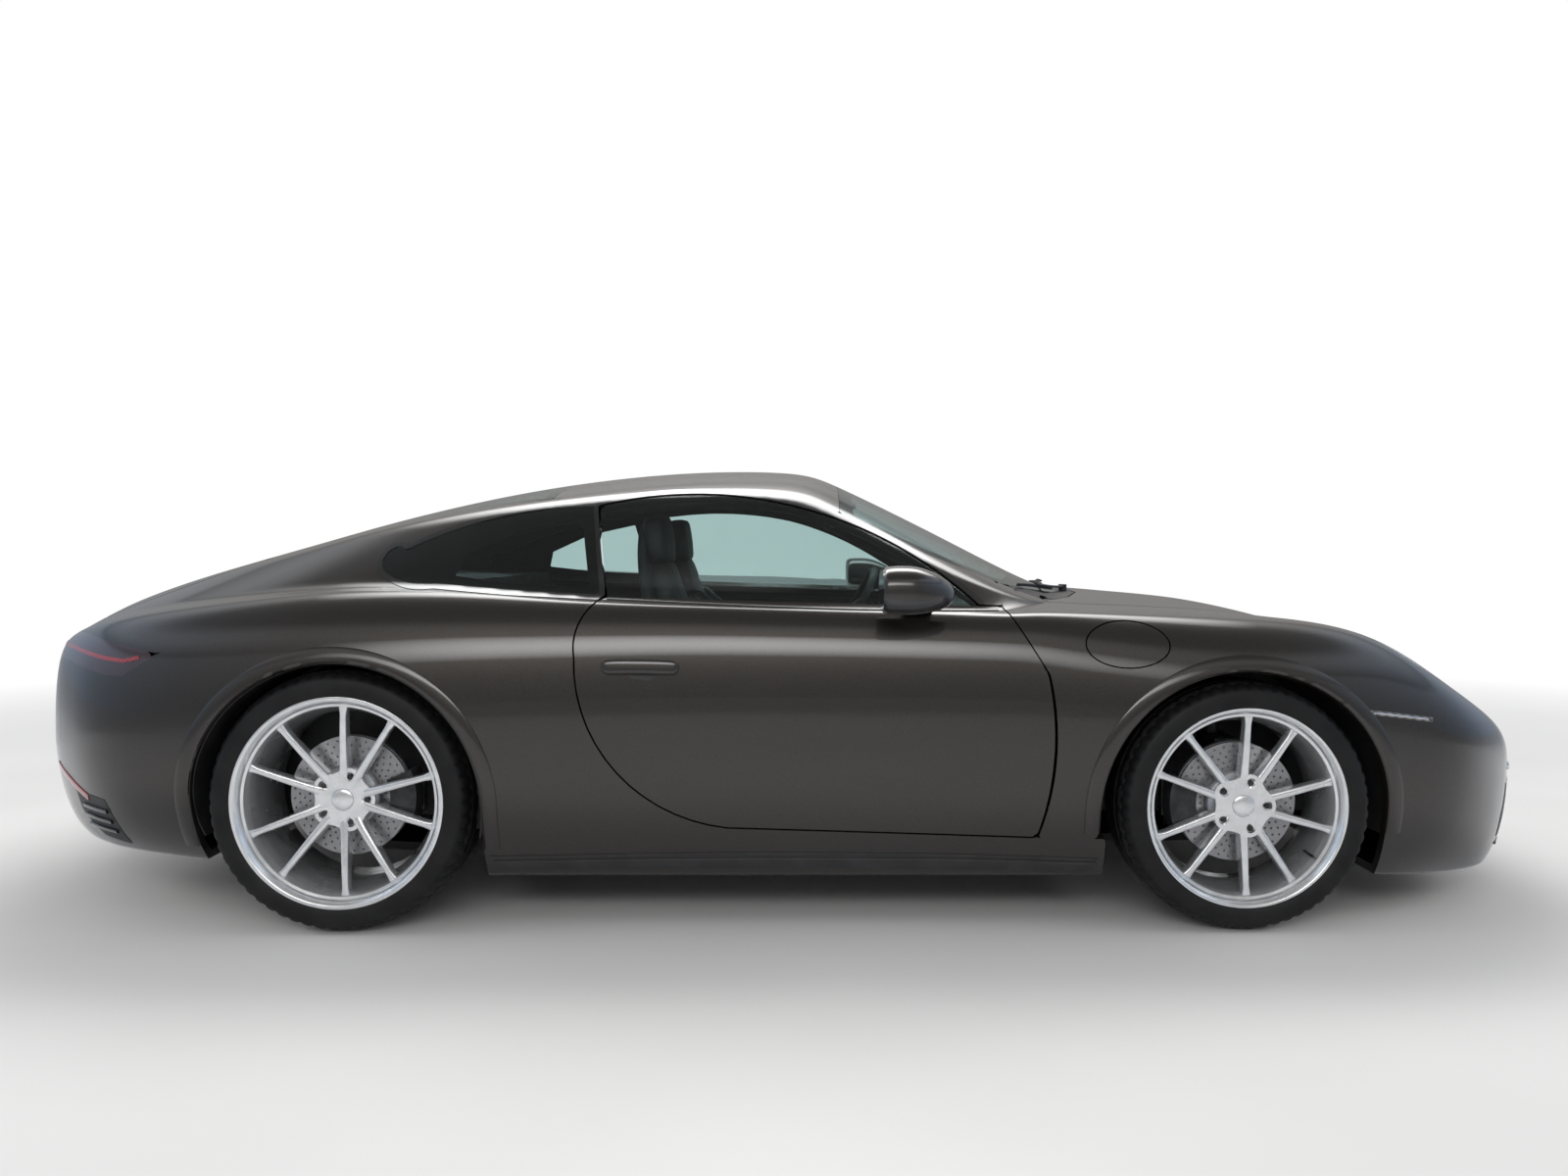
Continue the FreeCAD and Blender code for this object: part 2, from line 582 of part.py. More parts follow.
door_hull = hull(even_inset(size("door_skin")))
door_outer = outer.cut(door_hull).common(side_prism(door_face, 600))
door_inner = walls.common(door_hull).common(side_prism(grown(door_face, -size("door_step")), 600))
door = door_outer.fuse(door_inner)
for pocket in hinge_pockets():
    door = door.cut(pocket)
for pin in hinge_pins():
    door = door.fuse(pin)
handle_face = outline("side", (-494, 716), (-484, 738, -456, 744), (-300, 736), (-273, 724), (-296, 704), (-470, 698))
door = door.fuse(side_prism(handle_face, 600).common(handle_hull).cut(recessed))
pair("door", door)
pair("door_glass", glass_skin.common(side_prism(pane_face, 500)))
mirror_long, mirror_half, mirror_high = size("mirror_long"), size("mirror_half"), size("mirror_high")
mirror_side = outline("side", (-0.72 * mirror_long, -0.62 * mirror_high), (-0.72 * mirror_long, 0.66 * mirror_high),
                      (-0.30 * mirror_long, mirror_high, 0.40 * mirror_long, 0.70 * mirror_high),
                      (mirror_long, 0.02 * mirror_high), (0.60 * mirror_long, -0.66 * mirror_high),
                      (-0.40 * mirror_long, -0.98 * mirror_high))
mirror_plan = outline("plan", (-0.72 * mirror_long, -mirror_half), (-0.72 * mirror_long, 0.80 * mirror_half),
                      (-0.40 * mirror_long, mirror_half, 0.20 * mirror_long, 0.86 * mirror_half),
                      (0.80 * mirror_long, 0.10 * mirror_half), (mirror_long, -0.60 * mirror_half),
                      (0.90 * mirror_long, -mirror_half))
mirror_front = outline("front", (-mirror_half, -0.50 * mirror_high), (-mirror_half, 0.40 * mirror_high),
                       (-0.55 * mirror_half, 0.98 * mirror_high, 0.20 * mirror_half, mirror_high),
                       (0.90 * mirror_half, 0.86 * mirror_high, mirror_half, 0.10 * mirror_high),
                       (0.95 * mirror_half, -0.80 * mirror_high, 0.40 * mirror_half, -mirror_high))
mirror_head = side_prism(mirror_side, -WIDE, WIDE).common(upright(mirror_plan, -WIDE, WIDE))
mirror_head = mirror_head.common(lengthwise(mirror_front, -WIDE, WIDE))
mirror_head.translate(V(size("mirror_x"), size("mirror_y"), size("mirror_z")))
mirror_foot = block(size("mirror_x") - 30, size("mirror_x") + 75, 742, size("mirror_y") - 20, 850, 905)
pair("door_mirror", mirror_head.fuse(mirror_foot).cut(outer))

# Lids and the flap

lid_pin = lid_pivot(size("pivot_rad"), 31)
piece("front_lid", panels.common(front_mid).fuse(lid_pin).fuse(mirrored(lid_pin)))
deck_pin = deck_pivot(size("pivot_rad"), 36)
engine_lid = panels.common(upright(engine_lid_plan, 780, 1200)).fuse(deck_pin).fuse(mirrored(deck_pin))
for number in range(4):
    slot_y = (number + 0.5) * size("slat_step")
    engine_lid = engine_lid.cut(both(block(-1905, -1725, slot_y - size("slat_slot") / 2, slot_y + size("slat_slot") / 2,
                                           700, 1200)))
piece("engine_lid", engine_lid)
flap = glass_skin.common(flap_prism(size("flap_long"), size("flap_high")))
piece("fuel_flap", flap.fuse(flap_pivot(size("flap_pin"), 41)))

# Wheels: the rim is turned about the axle, five pairs of spokes run from the bolt bosses to the barrel


def turned(profile, centre):
    """A profile of (radius, across) points turned about the wheel's axle at the centre."""
    points = [V(radius, across_car, 0) for radius, across_car in profile]
    face = Part.Face(Part.makePolygon(points + points[:1]))
    body = face.revolve(V(0, 0, 0), V(0, 1, 0), 360)
    body.translate(centre)
    return body


def rim(centre, radius, half, face_y):
    """A one-piece rim: barrel, ten spokes in five pairs, bosses, bolt holes, hub bore and blank cap."""
    barrel = turned([(radius, half - 12), (radius, half - 22), (radius - 18, half - 30), (radius - 22, half - 70),
                     (radius - 40, half - 100), (radius - 40, 92 - half), (radius - 22, 70 - half),
                     (radius - 18, 30 - half), (radius, 22 - half), (radius, 12 - half), (radius - 10, 12 - half),
                     (radius - 30, 34 - half), (radius - 50, 60 - half), (radius - 50, half - 108),
                     (radius - 32, half - 72), (radius - 30, half - 34), (radius - 22, half - 24),
                     (radius - 10, half - 12)], V(0, 0, 0))
    dish = turned([(0, face_y - 2), (90, face_y - 2), (radius - 26, half - 74), (radius - 26, half - 36),
                   (130, face_y + 34), (70, face_y + 30), (0, face_y + 30)], V(0, 0, 0))
    arms = []
    for number in range(5):
        for side in (-1, 1):
            root = V(70, 0, side * 5)
            reach = radius - 27
            spread = math.radians(15.5) * side
            tip = V(reach * math.cos(spread), 0, reach * math.sin(spread))
            along = (tip - root).normalize()
            wide = V(-along.z, 0, along.x)
            corners = [root + wide * 14 - along * 14, tip + wide * 9 + along * 3, tip - wide * 9 + along * 3,
                       root - wide * 14 - along * 14]
            arm = Part.Face(Part.makePolygon(corners + corners[:1])).extrude(V(0, 200, 0))
            arm.translate(V(0, face_y - 60, 0))
            arm.rotate(V(0, 0, 0), V(0, 1, 0), 72 * number)
            arms.append(arm)
        boss = Part.makeCylinder(22, 200, V(size("bolt_circle") / 2, face_y - 60, 0), V(0, 1, 0))
        boss.rotate(V(0, 0, 0), V(0, 1, 0), 72 * number)
        arms.append(boss)
    arms.append(Part.makeCylinder(50, 200, V(0, face_y - 60, 0), V(0, 1, 0)))
    star = arms[0].multiFuse(arms[1:]).common(dish)
    wheel = star.fuse(barrel)
    for number in range(5):
        hole = Part.makeCylinder(size("bolt_hole"), 200, V(size("bolt_circle") / 2, face_y - 60, 0), V(0, 1, 0))
        seat = Part.makeCylinder(13, 60, V(size("bolt_circle") / 2, face_y + 14, 0), V(0, 1, 0))
        for cutter in (hole, seat):
            cutter.rotate(V(0, 0, 0), V(0, 1, 0), 72 * number)
            wheel = wheel.cut(cutter)
    wheel = wheel.cut(Part.makeCylinder(size("hub_bore"), 20, V(0, face_y - 4, 0), V(0, 1, 0)))
    wheel = wheel.removeSplitter()
    wheel.translate(centre)
    return wheel


def tyre(centre, radius, half, rim_radius, rim_half):
    """A low tyre seated on the rim: flat tread, sloping shoulders and sidewalls that stand out past the rim."""
    side = [(rim_radius - 18, rim_half - 30), (rim_radius, rim_half - 22), (radius - 26, half), (radius, half - 28)]
    return turned(side + [(r, -y) for r, y in reversed(side)], centre)


def disc(centre, face_y):
    """A vented brake disc on its hat, with the hub bore."""
    radius, thick, bore = size("disc_rad"), size("disc_thick"), size("hub_bore")
    face = face_y - 2
    ring = face - 30
    return turned([(bore, face - 8), (bore, face), (80, face), (88, face - 6), (88, ring), (radius, ring),
                   (radius, ring - thick), (78, ring - thick), (78, face - 10), (76, face - 8)], centre)


def caliper(centre, face_y, turn):
    """A brake caliper over the disc's rim, the bridge outside it and a cheek on each side."""
    radius, thick = size("disc_rad"), size("disc_thick")
    ring = face_y - 32
    body = turned([(radius + 24, ring + 24), (radius - 48, ring + 24), (radius - 48, ring + 6), (radius + 6, ring + 6),
                   (radius + 6, ring - thick - 6), (radius - 48, ring - thick - 6), (radius - 48, ring - thick - 30),
                   (radius + 24, ring - thick - 30)], V(0, 0, 0))
    wedge = Part.Face(Part.makePolygon([V(0, 0, 0), V(400, 0, -170), V(400, 0, 170), V(0, 0, 0)]))
    wedge = wedge.extrude(V(0, 400, 0))
    wedge.translate(V(0, ring - thick - 100, 0))
    body = body.common(wedge)
    body.rotate(V(0, 0, 0), V(0, 1, 0), turn)
    body.translate(centre)
    return body


WHEELS = [
    # name, x, plane, tyre radius, tyre half width, rim radius, rim half width, hub face, caliper turn
    ("front", FRONT_AXLE, size("front_plane"), size("front_tyre_rad"), size("front_tyre_half"),
     size("front_rim_rad"), size("front_tyre_half") + 6, size("front_face"), 180),
    ("rear", REAR_AXLE, size("rear_plane"), size("rear_tyre_rad"), size("rear_tyre_half"),
     size("rear_rim_rad"), size("rear_tyre_half") + 8, size("rear_face"), 0),
]
carriers = {}
for name, axle_x, plane, tyre_rad, tyre_half, rim_rad, rim_half, face_y, turn in WHEELS:
    centre = V(axle_x, plane, tyre_rad)
    pair(f"rim_{name}", rim(centre, rim_rad, rim_half, face_y))
    pair(f"tyre_{name}", tyre(centre, tyre_rad, tyre_half, rim_rad, rim_half))
    pair(f"brake_disc_{name}", disc(centre, face_y))
    stub = Part.makeCylinder(size("stub_rad"), 100, centre + V(0, face_y - 88, 0), V(0, 1, 0))
    back = face_y - 32 - size("disc_thick") - 12
    upright_block = block(axle_x - 62, axle_x + 62, plane + back - 54, plane + back, tyre_rad - 110, tyre_rad + 120)
    arm_x = -1 if turn == 180 else 1
    bracket = block(min(0, arm_x * 190), max(0, arm_x * 190), back - 30, back - 4, -50, 50)
    bracket.translate(centre)
    clamp = caliper(centre, face_y, turn)
    carriers[name] = upright_block.fuse(stub).fuse(bracket).fuse(clamp)

# Front axle: a crossmember with an arm, a strut and a king pin on each side; the knuckle turns on the pins

pin_x, pin_y = FRONT_AXLE, size("kingpin_y")
pin_rad, pin_bore = size("kingpin_rad"), size("kingpin_bore")
front_hub = size("front_tyre_rad")
knuckle = carriers["front"].fuse(block(pin_x - 40, pin_x + 40, pin_y - 30, pin_y + 30, front_hub - 110, front_hub - 80))
knuckle = knuckle.fuse(block(pin_x - 40, pin_x + 40, pin_y - 30, pin_y + 30, front_hub + 90, front_hub + 120))
for low in (front_hub - 150, front_hub + 119):
    knuckle = knuckle.fuse(Part.makeCylinder(pin_rad, 41, V(pin_x, pin_y, low)))
pair("front_knuckle", knuckle)
arm = block(pin_x - 30, pin_x + 30, 330, pin_y + 26, front_hub - 152, front_hub - 118)
mast = block(pin_x - 34, pin_x + 34, 560, pin_y + 26, front_hub + 128, front_hub + 162)
mast = mast.fuse(Part.makeCylinder(22, 250, V(pin_x, 585, front_hub + 150)))
mast = mast.fuse(block(pin_x - 60, pin_x + 60, 430, 622, 727, 744))
side_axle = arm.cut(Part.makeCylinder(pin_bore, 60, V(pin_x, pin_y, front_hub - 160)))
mast = mast.cut(Part.makeCylinder(pin_bore, 40, V(pin_x, pin_y, front_hub + 122)))
beam = block(pin_x - 60, pin_x + 60, -340, 340, 120, 236).common(lined)
piece("front_axle", beam.fuse(side_axle).fuse(mirrored(side_axle)))
piece("front_struts", both(mast))

# Rear axle: a crossmember with a broad arm to each fixed upright

rear_hub = size("rear_tyre_rad")
rear_arm = block(REAR_AXLE - 60, REAR_AXLE + 60, 300, size("rear_plane") - 40, rear_hub - 146, rear_hub - 106)
rear_strut = Part.makeCylinder(26, 690, V(REAR_AXLE, 526, rear_hub - 120))
rear_side = carriers["rear"].fuse(rear_arm).fuse(rear_strut).cut(rear_wall)
rear_rail = block(size("engine_x") + 60, REAR_AXLE, 240, 320, 212, size("engine_z"))
rear_beam = block(REAR_AXLE - 90, REAR_AXLE + 90, -340, 340, 120, rear_hub - 80).common(lined)
rear_half = rear_side.fuse(rear_rail)
piece("rear_axle", rear_beam.fuse(rear_half).fuse(mirrored(rear_half)))

# Inner structure: luggage tub, bulkheads, wheel arch liners


def arch_liner(axle_x, radius, axle_z, inner_y, low):
    """The curved liner just inside a left wheel arch, open below the low height."""
    ring = Part.makeCylinder(radius, WIDE - inner_y, V(axle_x, inner_y, axle_z), V(0, 1, 0))
    ring = ring.cut(Part.makeCylinder(radius - size("liner"), WIDE - inner_y, V(axle_x, inner_y, axle_z),
                                      V(0, 1, 0)))
    return ring.cut(block(axle_x - 600, axle_x + 600, 0, WIDE, -100, low))


front_liner = arch_liner(FRONT_AXLE, size("liner_front_rad"), size("arch_front_z"), size("arch_depth_front"), 252)
rear_liner = arch_liner(REAR_ARCH, size("arch_rear_rad"), size("arch_rear_z"), size("arch_depth_rear"), 253)
rear_plate = Part.makeCylinder(size("arch_rear_rad"), size("liner"), V(REAR_ARCH, size("arch_depth_rear"),
                               size("arch_rear_z")), V(0, 1, 0)).cut(block(-2000, 0, 0, WIDE, -100, 253))
strut_hole = Part.makeCylinder(34, 400, V(FRONT_AXLE, 585, 500))
piece("front_liners", both(front_liner.common(lined).cut(strut_hole)))
piece("rear_liners", both(rear_liner.fuse(rear_plate).common(recessed)))

tub = block(800, 1820, -430, 430, 236, 745).cut(block(826, 1794, -405, 405, 262, 900)).common(tub_hull)
piece("luggage_tub", tub)
front_tray = panels.common(block(size("cabin_front"), 1400, -682, 682, 0, 216)).cut(arches)
piece("front_tray", front_tray)
rear_tray = panels.common(block(-1400, size("cabin_rear"), -682, 682, 0, 216)).cut(arches)
piece("rear_tray", rear_tray)
firewall = lined.common(block(size("cabin_front"), 800, -WIDE, WIDE, 0, 1200)).cut(arches)
firewall = firewall.cut(upright(grown(lid_plan, gap), 845, 1200)).cut(lid_pivot(28, 60)).cut(
    mirrored(lid_pivot(28, 60)))
piece("firewall", firewall)
piece("rear_bulkhead", rear_wall.cut(arches))
engine = doc.addObject("Part::Box", "engine_block")
engine.Label = "engine_block"
for side, cell in (("Length", "engine_long"), ("Width", "engine_wide"), ("Height", "engine_high")):
    engine.setExpression(side, f"sizes.{cell}")
engine.setExpression("Placement.Base.x", "sizes.engine_x")
engine.setExpression("Placement.Base.y", "-sizes.engine_wide / 2")
engine.setExpression("Placement.Base.z", "sizes.engine_z")
pieces.append(engine)

# Cabin: dashboard, seats, rear bench, steering wheel

dash_face = outline("side", (760, 560), (760, 830), (700, 862), (440, 850), (372, 800), (420, 640, 520, 560))
dash = side_prism(dash_face, -664, 664).common(cabin_hull)
seat_face = outline("side", (230, 180), (250, 380), (215, 420, 120, 412), (-160, 372), (-250, 640), (-330, 900),
                    (-352, 1020, -330, 1110), (-380, 1150, -428, 1110), (-440, 860), (-380, 420), (-330, 180))
seat = side_prism(seat_face, size("seat_y") - size("seat_width") / 2, size("seat_y") + size("seat_width") / 2)
seat = seat.common(cabin_hull)
pair("seat", seat)
bench_face = outline("side", (-520, 180), (-500, 470), (-780, 440), (-880, 800), (-930, 800), (-930, 180))
piece("rear_bench", side_prism(bench_face, -545, 545).common(cabin_hull))
console_face = outline("side", (740, 180), (740, 600), (520, 600), (430, 480), (-120, 450), (-420, 480), (-430, 180))
console = side_prism(console_face, -95, 95).common(cabin_hull)
grip = [V(size("steer_rad") + 15 * math.cos(math.radians(turn)), 0, 15 * math.sin(math.radians(turn)))
        for turn in range(0, 360, 45)]
wheel_ring = Part.Face(Part.makePolygon(grip + grip[:1])).revolve(V(0, 0, 0), V(0, 0, 1), 360)
wheel_ring = wheel_ring.fuse(Part.makeCylinder(58, 34, V(0, 0, -20)))
for start in (0, 180, 270):
    spoke = Part.makeBox(size("steer_rad") - 40, 36, 14, V(40, -18, -10))
    spoke.rotate(V(0, 0, 0), V(0, 0, 1), start)
    wheel_ring = wheel_ring.fuse(spoke)
wheel_ring = wheel_ring.fuse(Part.makeCylinder(17.95, 260, V(0, 0, -270)))
wheel_ring.Placement = FreeCAD.Placement(V(size("steer_x"), size("seat_y"), size("steer_z")),
                                         FreeCAD.Rotation(V(0, 1, 0), -(90 - size("steer_tilt"))))
piece("steering_wheel", wheel_ring)
column_bore = Part.makeCylinder(18.0, 290, V(0, 0, -290))
column_bore.Placement = wheel_ring.Placement
piece("dashboard", dash.fuse(console).cut(column_bore))

doc.recompute()
for item in doc.Objects:
    if {"Invalid", "Error"} & set(item.State):
        raise RuntimeError(f"{item.Label} is {item.State}")
for item in pieces:
    if item.Shape.isNull() or not item.Shape.isValid():
        raise RuntimeError(f"{item.Label} has no valid shape")
for item in pieces:
    item.Shape.exportStep(f"parts/{item.Label}.step")
    print(item.Label, len(item.Shape.Solids), "solids", round(item.Shape.Volume / 1e6, 2), "litres")
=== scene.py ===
"""Looks of a two-door rear-engined coupe, built over its packed assembly.

The painted panels and the glass are parts of one section surface. It is worked out on a grid with numpy and
trimmed to each panel's outline, so a panel is a function of two parameters, and the panels meet in even gaps.
Lengths are metres: +X forward, +Y to the car's left, +Z up, the origin on the ground at mid-length.
"""

import logging
import math
from collections.abc import Callable, Sequence
from dataclasses import dataclass
from enum import Enum

import bpy
import numpy as np
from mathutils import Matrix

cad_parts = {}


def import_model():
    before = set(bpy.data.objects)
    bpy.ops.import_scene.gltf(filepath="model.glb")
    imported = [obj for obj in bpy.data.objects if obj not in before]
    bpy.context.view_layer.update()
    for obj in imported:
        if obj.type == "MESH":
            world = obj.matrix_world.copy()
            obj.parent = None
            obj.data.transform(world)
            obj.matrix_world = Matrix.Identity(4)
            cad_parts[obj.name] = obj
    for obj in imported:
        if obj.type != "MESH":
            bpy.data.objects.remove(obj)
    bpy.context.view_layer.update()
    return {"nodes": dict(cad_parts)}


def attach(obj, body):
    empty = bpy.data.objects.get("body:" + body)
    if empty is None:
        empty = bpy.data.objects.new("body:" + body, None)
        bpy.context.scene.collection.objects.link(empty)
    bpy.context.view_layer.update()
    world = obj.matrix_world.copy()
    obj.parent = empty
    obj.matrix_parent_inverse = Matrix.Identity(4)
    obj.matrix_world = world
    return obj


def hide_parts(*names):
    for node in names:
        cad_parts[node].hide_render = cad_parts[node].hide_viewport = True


log = logging.getLogger("coupe")
Array = np.ndarray
MM = 0.001


class Slot(Enum):
    """The record's material slots."""

    PAINT = "body_paint"
    TRIM = "black_trim"
    GLASS = "glass"
    LAMP_CLEAR = "lamp_clear"
    LAMP_RED = "lamp_red"
    RIM = "rim_silver"
    TYRE = "tyre"
    IRON = "disc_iron"
    GEAR = "running_gear"
    LEATHER = "seat_leather"
    CABIN = "cabin_trim"


class Side(Enum):
    """The car's two sides, each with the sign of its Y."""

    LEFT = 1
    RIGHT = -1

    @property
    def word(self) -> str:
        """The word that node and body names end in."""
        return self.name.lower()


# Meshes as arrays


@dataclass
class Form:
    """A mesh under construction.

    points holds its corners, one row each, faces the corners of its triangles, and normals, where they are
    known exactly, the shading normal of each corner of each triangle.
    """

    points: Array
    faces: Array
    normals: Array | None = None

    @staticmethod
    def joined(forms: Sequence["Form"]) -> "Form":
        """One form of several, which may have exact normals or not."""
        starts = np.cumsum([0] + [len(form.points) for form in forms[:-1]])
        faces = np.concatenate([form.faces + start for form, start in zip(forms, starts)])
        normals = None
        if any(form.normals is not None for form in forms):
            normals = np.concatenate([form.corner_normals() for form in forms])
        return Form(np.concatenate([form.points for form in forms]), faces, normals)

    def corner_normals(self) -> Array:
        """The corner normals, with nothing where they aren't known."""
        return np.zeros((len(self.faces), 3, 3)) if self.normals is None else self.normals

    def mirrored(self) -> "Form":
        """The form on the other side of the car, with its faces still outwards."""
        flip = np.array([1.0, -1.0, 1.0])
        normals = None if self.normals is None else self.normals[:, ::-1] * flip
        return Form(self.points * flip, self.faces[:, ::-1], normals)

    def on(self, side: Side) -> "Form":
        """A left form for the given side."""
        return self if side is Side.LEFT else self.mirrored()

    def moved(self, step: Sequence[float]) -> "Form":
        """The form shifted by a step."""
        return Form(self.points + np.asarray(step, float), self.faces, self.normals)

    def turned(self, axis: Sequence[float], degrees: float, about: Sequence[float] = (0, 0, 0)) -> "Form":
        """The form turned about an axis through a point."""
        matrix = turn_matrix(axis, degrees)
        centre = np.asarray(about, float)
        normals = None if self.normals is None else self.normals @ matrix.T
        return Form((self.points - centre) @ matrix.T + centre, self.faces, normals)

    def welded(self) -> "Form":
        """The form with equal points joined and faces without area dropped."""
        keys = np.round(self.points * 1e6).astype(np.int64)
        _, first, back = np.unique(keys, axis=0, return_index=True, return_inverse=True)
        faces = back.reshape(-1)[self.faces]
        good = (faces[:, 0] != faces[:, 1]) & (faces[:, 1] != faces[:, 2]) & (faces[:, 0] != faces[:, 2])
        return Form(self.points[first], faces[good])

    def outward(self) -> "Form":
        """The closed form with its faces turned outwards: its signed volume is made positive."""
        a, b, c = (self.points[self.faces[:, i]] for i in range(3))
        volume = np.einsum("ij,ij->i", a, np.cross(b, c)).sum()
        return self if volume > 0 else Form(self.points, self.faces[:, ::-1])

    def thing(self, name: str, finish: bpy.types.Material, body: str, slot: Slot,
              replaces: Sequence[str] = (), crease: float = 35.0) -> bpy.types.Object:
        """Makes the piece.

        Args:
            name: the object's name.
            finish: its material.
            body: the body that it rides on.
            slot: the record's slot for its finish; it is not used.
            replaces: CAD nodes that it stands for.
            crease: edges sharper than this many degrees stay sharp.

        Returns:
            The object, at the origin, with its place in its mesh.
        """
        mesh = bpy.data.meshes.new(name)
        mesh.vertices.add(len(self.points))
        mesh.vertices.foreach_set("co", self.points.astype(np.float32).ravel())
        mesh.loops.add(self.faces.size)
        mesh.loops.foreach_set("vertex_index", self.faces.astype(np.int32).ravel())
        mesh.polygons.add(len(self.faces))
        mesh.polygons.foreach_set("loop_start", np.arange(0, self.faces.size, 3, dtype=np.int32))
        mesh.polygons.foreach_set("use_smooth", np.ones(len(self.faces), bool))
        mesh.update(calc_edges=True)
        mesh.set_sharp_from_angle(angle=math.radians(crease))
        if self.normals is not None:
            mesh.normals_split_custom_set(self.normals.reshape(-1, 3).tolist())
        mesh.materials.append(finish)
        thing = bpy.data.objects.new(name, mesh)
        bpy.context.scene.collection.objects.link(thing)
        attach(thing, body)
        if replaces:
            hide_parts(*replaces)
        log.info("%s: %d triangles", name, len(self.faces))
        return thing


def turn_matrix(axis: Sequence[float], degrees: float) -> Array:
    """The matrix of a turn about an axis through the origin, from the cosine and sine of its angle."""
    x, y, z = np.asarray(axis, float) / np.linalg.norm(axis)
    c, s = math.cos(math.radians(degrees)), math.sin(math.radians(degrees))
    cross = np.array([[0, -z, y], [z, 0, -x], [-y, x, 0]])
    return c * np.eye(3) + s * cross + (1 - c) * np.outer((x, y, z), (x, y, z))


def unit(vectors: Array) -> Array:
    """The vectors at length one, with nothing left where they have no length."""
    length = np.linalg.norm(vectors, axis=-1, keepdims=True)
    return vectors / np.maximum(length, 1e-12)


def cells(rows: int, columns: int, closed_u: bool = False, closed_v: bool = False) -> Array:
    """The triangles of a grid's cells, two each, as indices of its points row by row.

    Args:
        rows: how many rows, along u.
        columns: how many columns, along v.
        closed_u: the last row joins the first.
        closed_v: the last column joins the first.

    Returns:
        The triangles, which face the way of u crossed with v.
    """
    index = np.arange(rows * columns).reshape(rows, columns)
    if closed_u:
        index = np.vstack([index, index[:1]])
    if closed_v:
        index = np.hstack([index, index[:, :1]])
    a, b, c, d = (part.ravel() for part in (index[:-1, :-1], index[1:, :-1], index[1:, 1:], index[:-1, 1:]))
    return np.concatenate([np.stack([a, b, c], 1), np.stack([a, c, d], 1)])


def woven(grid: Array, closed_u: bool = False, closed_v: bool = False) -> Form:
    """The sheet over a grid of points: each cell between neighbours in u and v is two triangles.

    Args:
        grid: points by u, v and axis.
        closed_u: the last row joins the first.
        closed_v: the last column joins the first.

    Returns:
        The sheet, welded.
    """
    return Form(grid.reshape(-1, 3), cells(*grid.shape[:2], closed_u, closed_v)).welded()


def spun(profile: Sequence[tuple[float, float]], steps: int = 96) -> Form:
    """A profile of (radius, across) turned about the Y axis: (r cos a, across, r sin a) for each angle a.

    Args:
        profile: the profile's points.
        steps: how many angles.

    Returns:
        The closed form about the origin.
    """
    radius, across = np.asarray(profile, float).T
    angle = np.linspace(0, 2 * np.pi, steps, endpoint=False)[:, None]
    grid = np.stack([radius * np.cos(angle), across + 0 * angle, radius * np.sin(angle)], -1)
    return woven(grid, True, True).outward()


def rounded(half: Sequence[float], power: float = 4.0, steps: int = 24) -> Form:
    """A block with rounded corners: a superellipsoid, whose sine and cosine are raised to 2 / power.

    Args:
        half: half its size along each axis.
        power: 2 is an ellipsoid, and more is squarer.
        steps: how fine its grid is.

    Returns:
        The closed form about the origin.
    """
    def bent(values: Array) -> Array:
        return np.sign(values) * np.abs(values) ** (2 / power)

    u = np.linspace(0, 2 * np.pi, 2 * steps, endpoint=False)[:, None]
    v = np.linspace(-np.pi / 2, np.pi / 2, steps + 1)[None, :]
    ring = bent(np.cos(v))
    grid = np.stack([ring * bent(np.cos(u)), ring * bent(np.sin(u)), bent(np.sin(v)) + 0 * u], -1)
    return woven(grid * np.asarray(half, float), True).outward()


def capped(grid: Array) -> Array:
    """Rows of points with a row drawn in to its middle added at each end."""
    first, last = (np.repeat(row.mean(1, keepdims=True), grid.shape[1], 1) for row in (grid[:1], grid[-1:]))
    return np.concatenate([first, grid, last])


def swept(path: Array, profile: Array, side: Array, closed: bool = False, ends: bool = True) -> Form:
    """A profile carried along a path: path + p * side + q * (path direction x side).

    Args:
        path: the path's points.
        profile: closed profile points (p, q).
        side: a direction for each path point, or one for all.
        closed: the path joins its start.
        ends: flat ends close an open path.

    Returns:
        The closed form.
    """
    path = np.asarray(path, float)
    ahead = np.roll(path, -1, 0) - np.roll(path, 1, 0)
    if not closed:
        ahead[0], ahead[-1] = path[1] - path[0], path[-1] - path[-2]
    ahead = unit(ahead)
    side = np.broadcast_to(np.asarray(side, float), path.shape)
    side = unit(side - (side * ahead).sum(1, keepdims=True) * ahead)
    up = np.cross(ahead, side)
    profile = np.asarray(profile, float)
    grid = path[:, None] + profile[None, :, 0:1] * side[:, None] + profile[None, :, 1:2] * up[:, None]
    if ends and not closed:
        grid = capped(grid)
    return woven(grid, closed, True).outward()


def ring_profile(rad: float, steps: int = 12) -> Array:
    """A circle of points (p, q)."""
    angle = np.linspace(0, 2 * np.pi, steps, endpoint=False)
    return np.stack([rad * np.cos(angle), rad * np.sin(angle)], 1)


def soft_box(width: float, height: float, steps: int = 24, power: float = 5.0) -> Array:
    """A rounded rectangle of points (p, q): a superellipse of the given width and height."""
    angle = np.linspace(0, 2 * np.pi, steps, endpoint=False)
    c, s = np.cos(angle), np.sin(angle)
    return np.stack([width / 2 * np.sign(c) * np.abs(c) ** (2 / power),
                     height / 2 * np.sign(s) * np.abs(s) ** (2 / power)], 1)


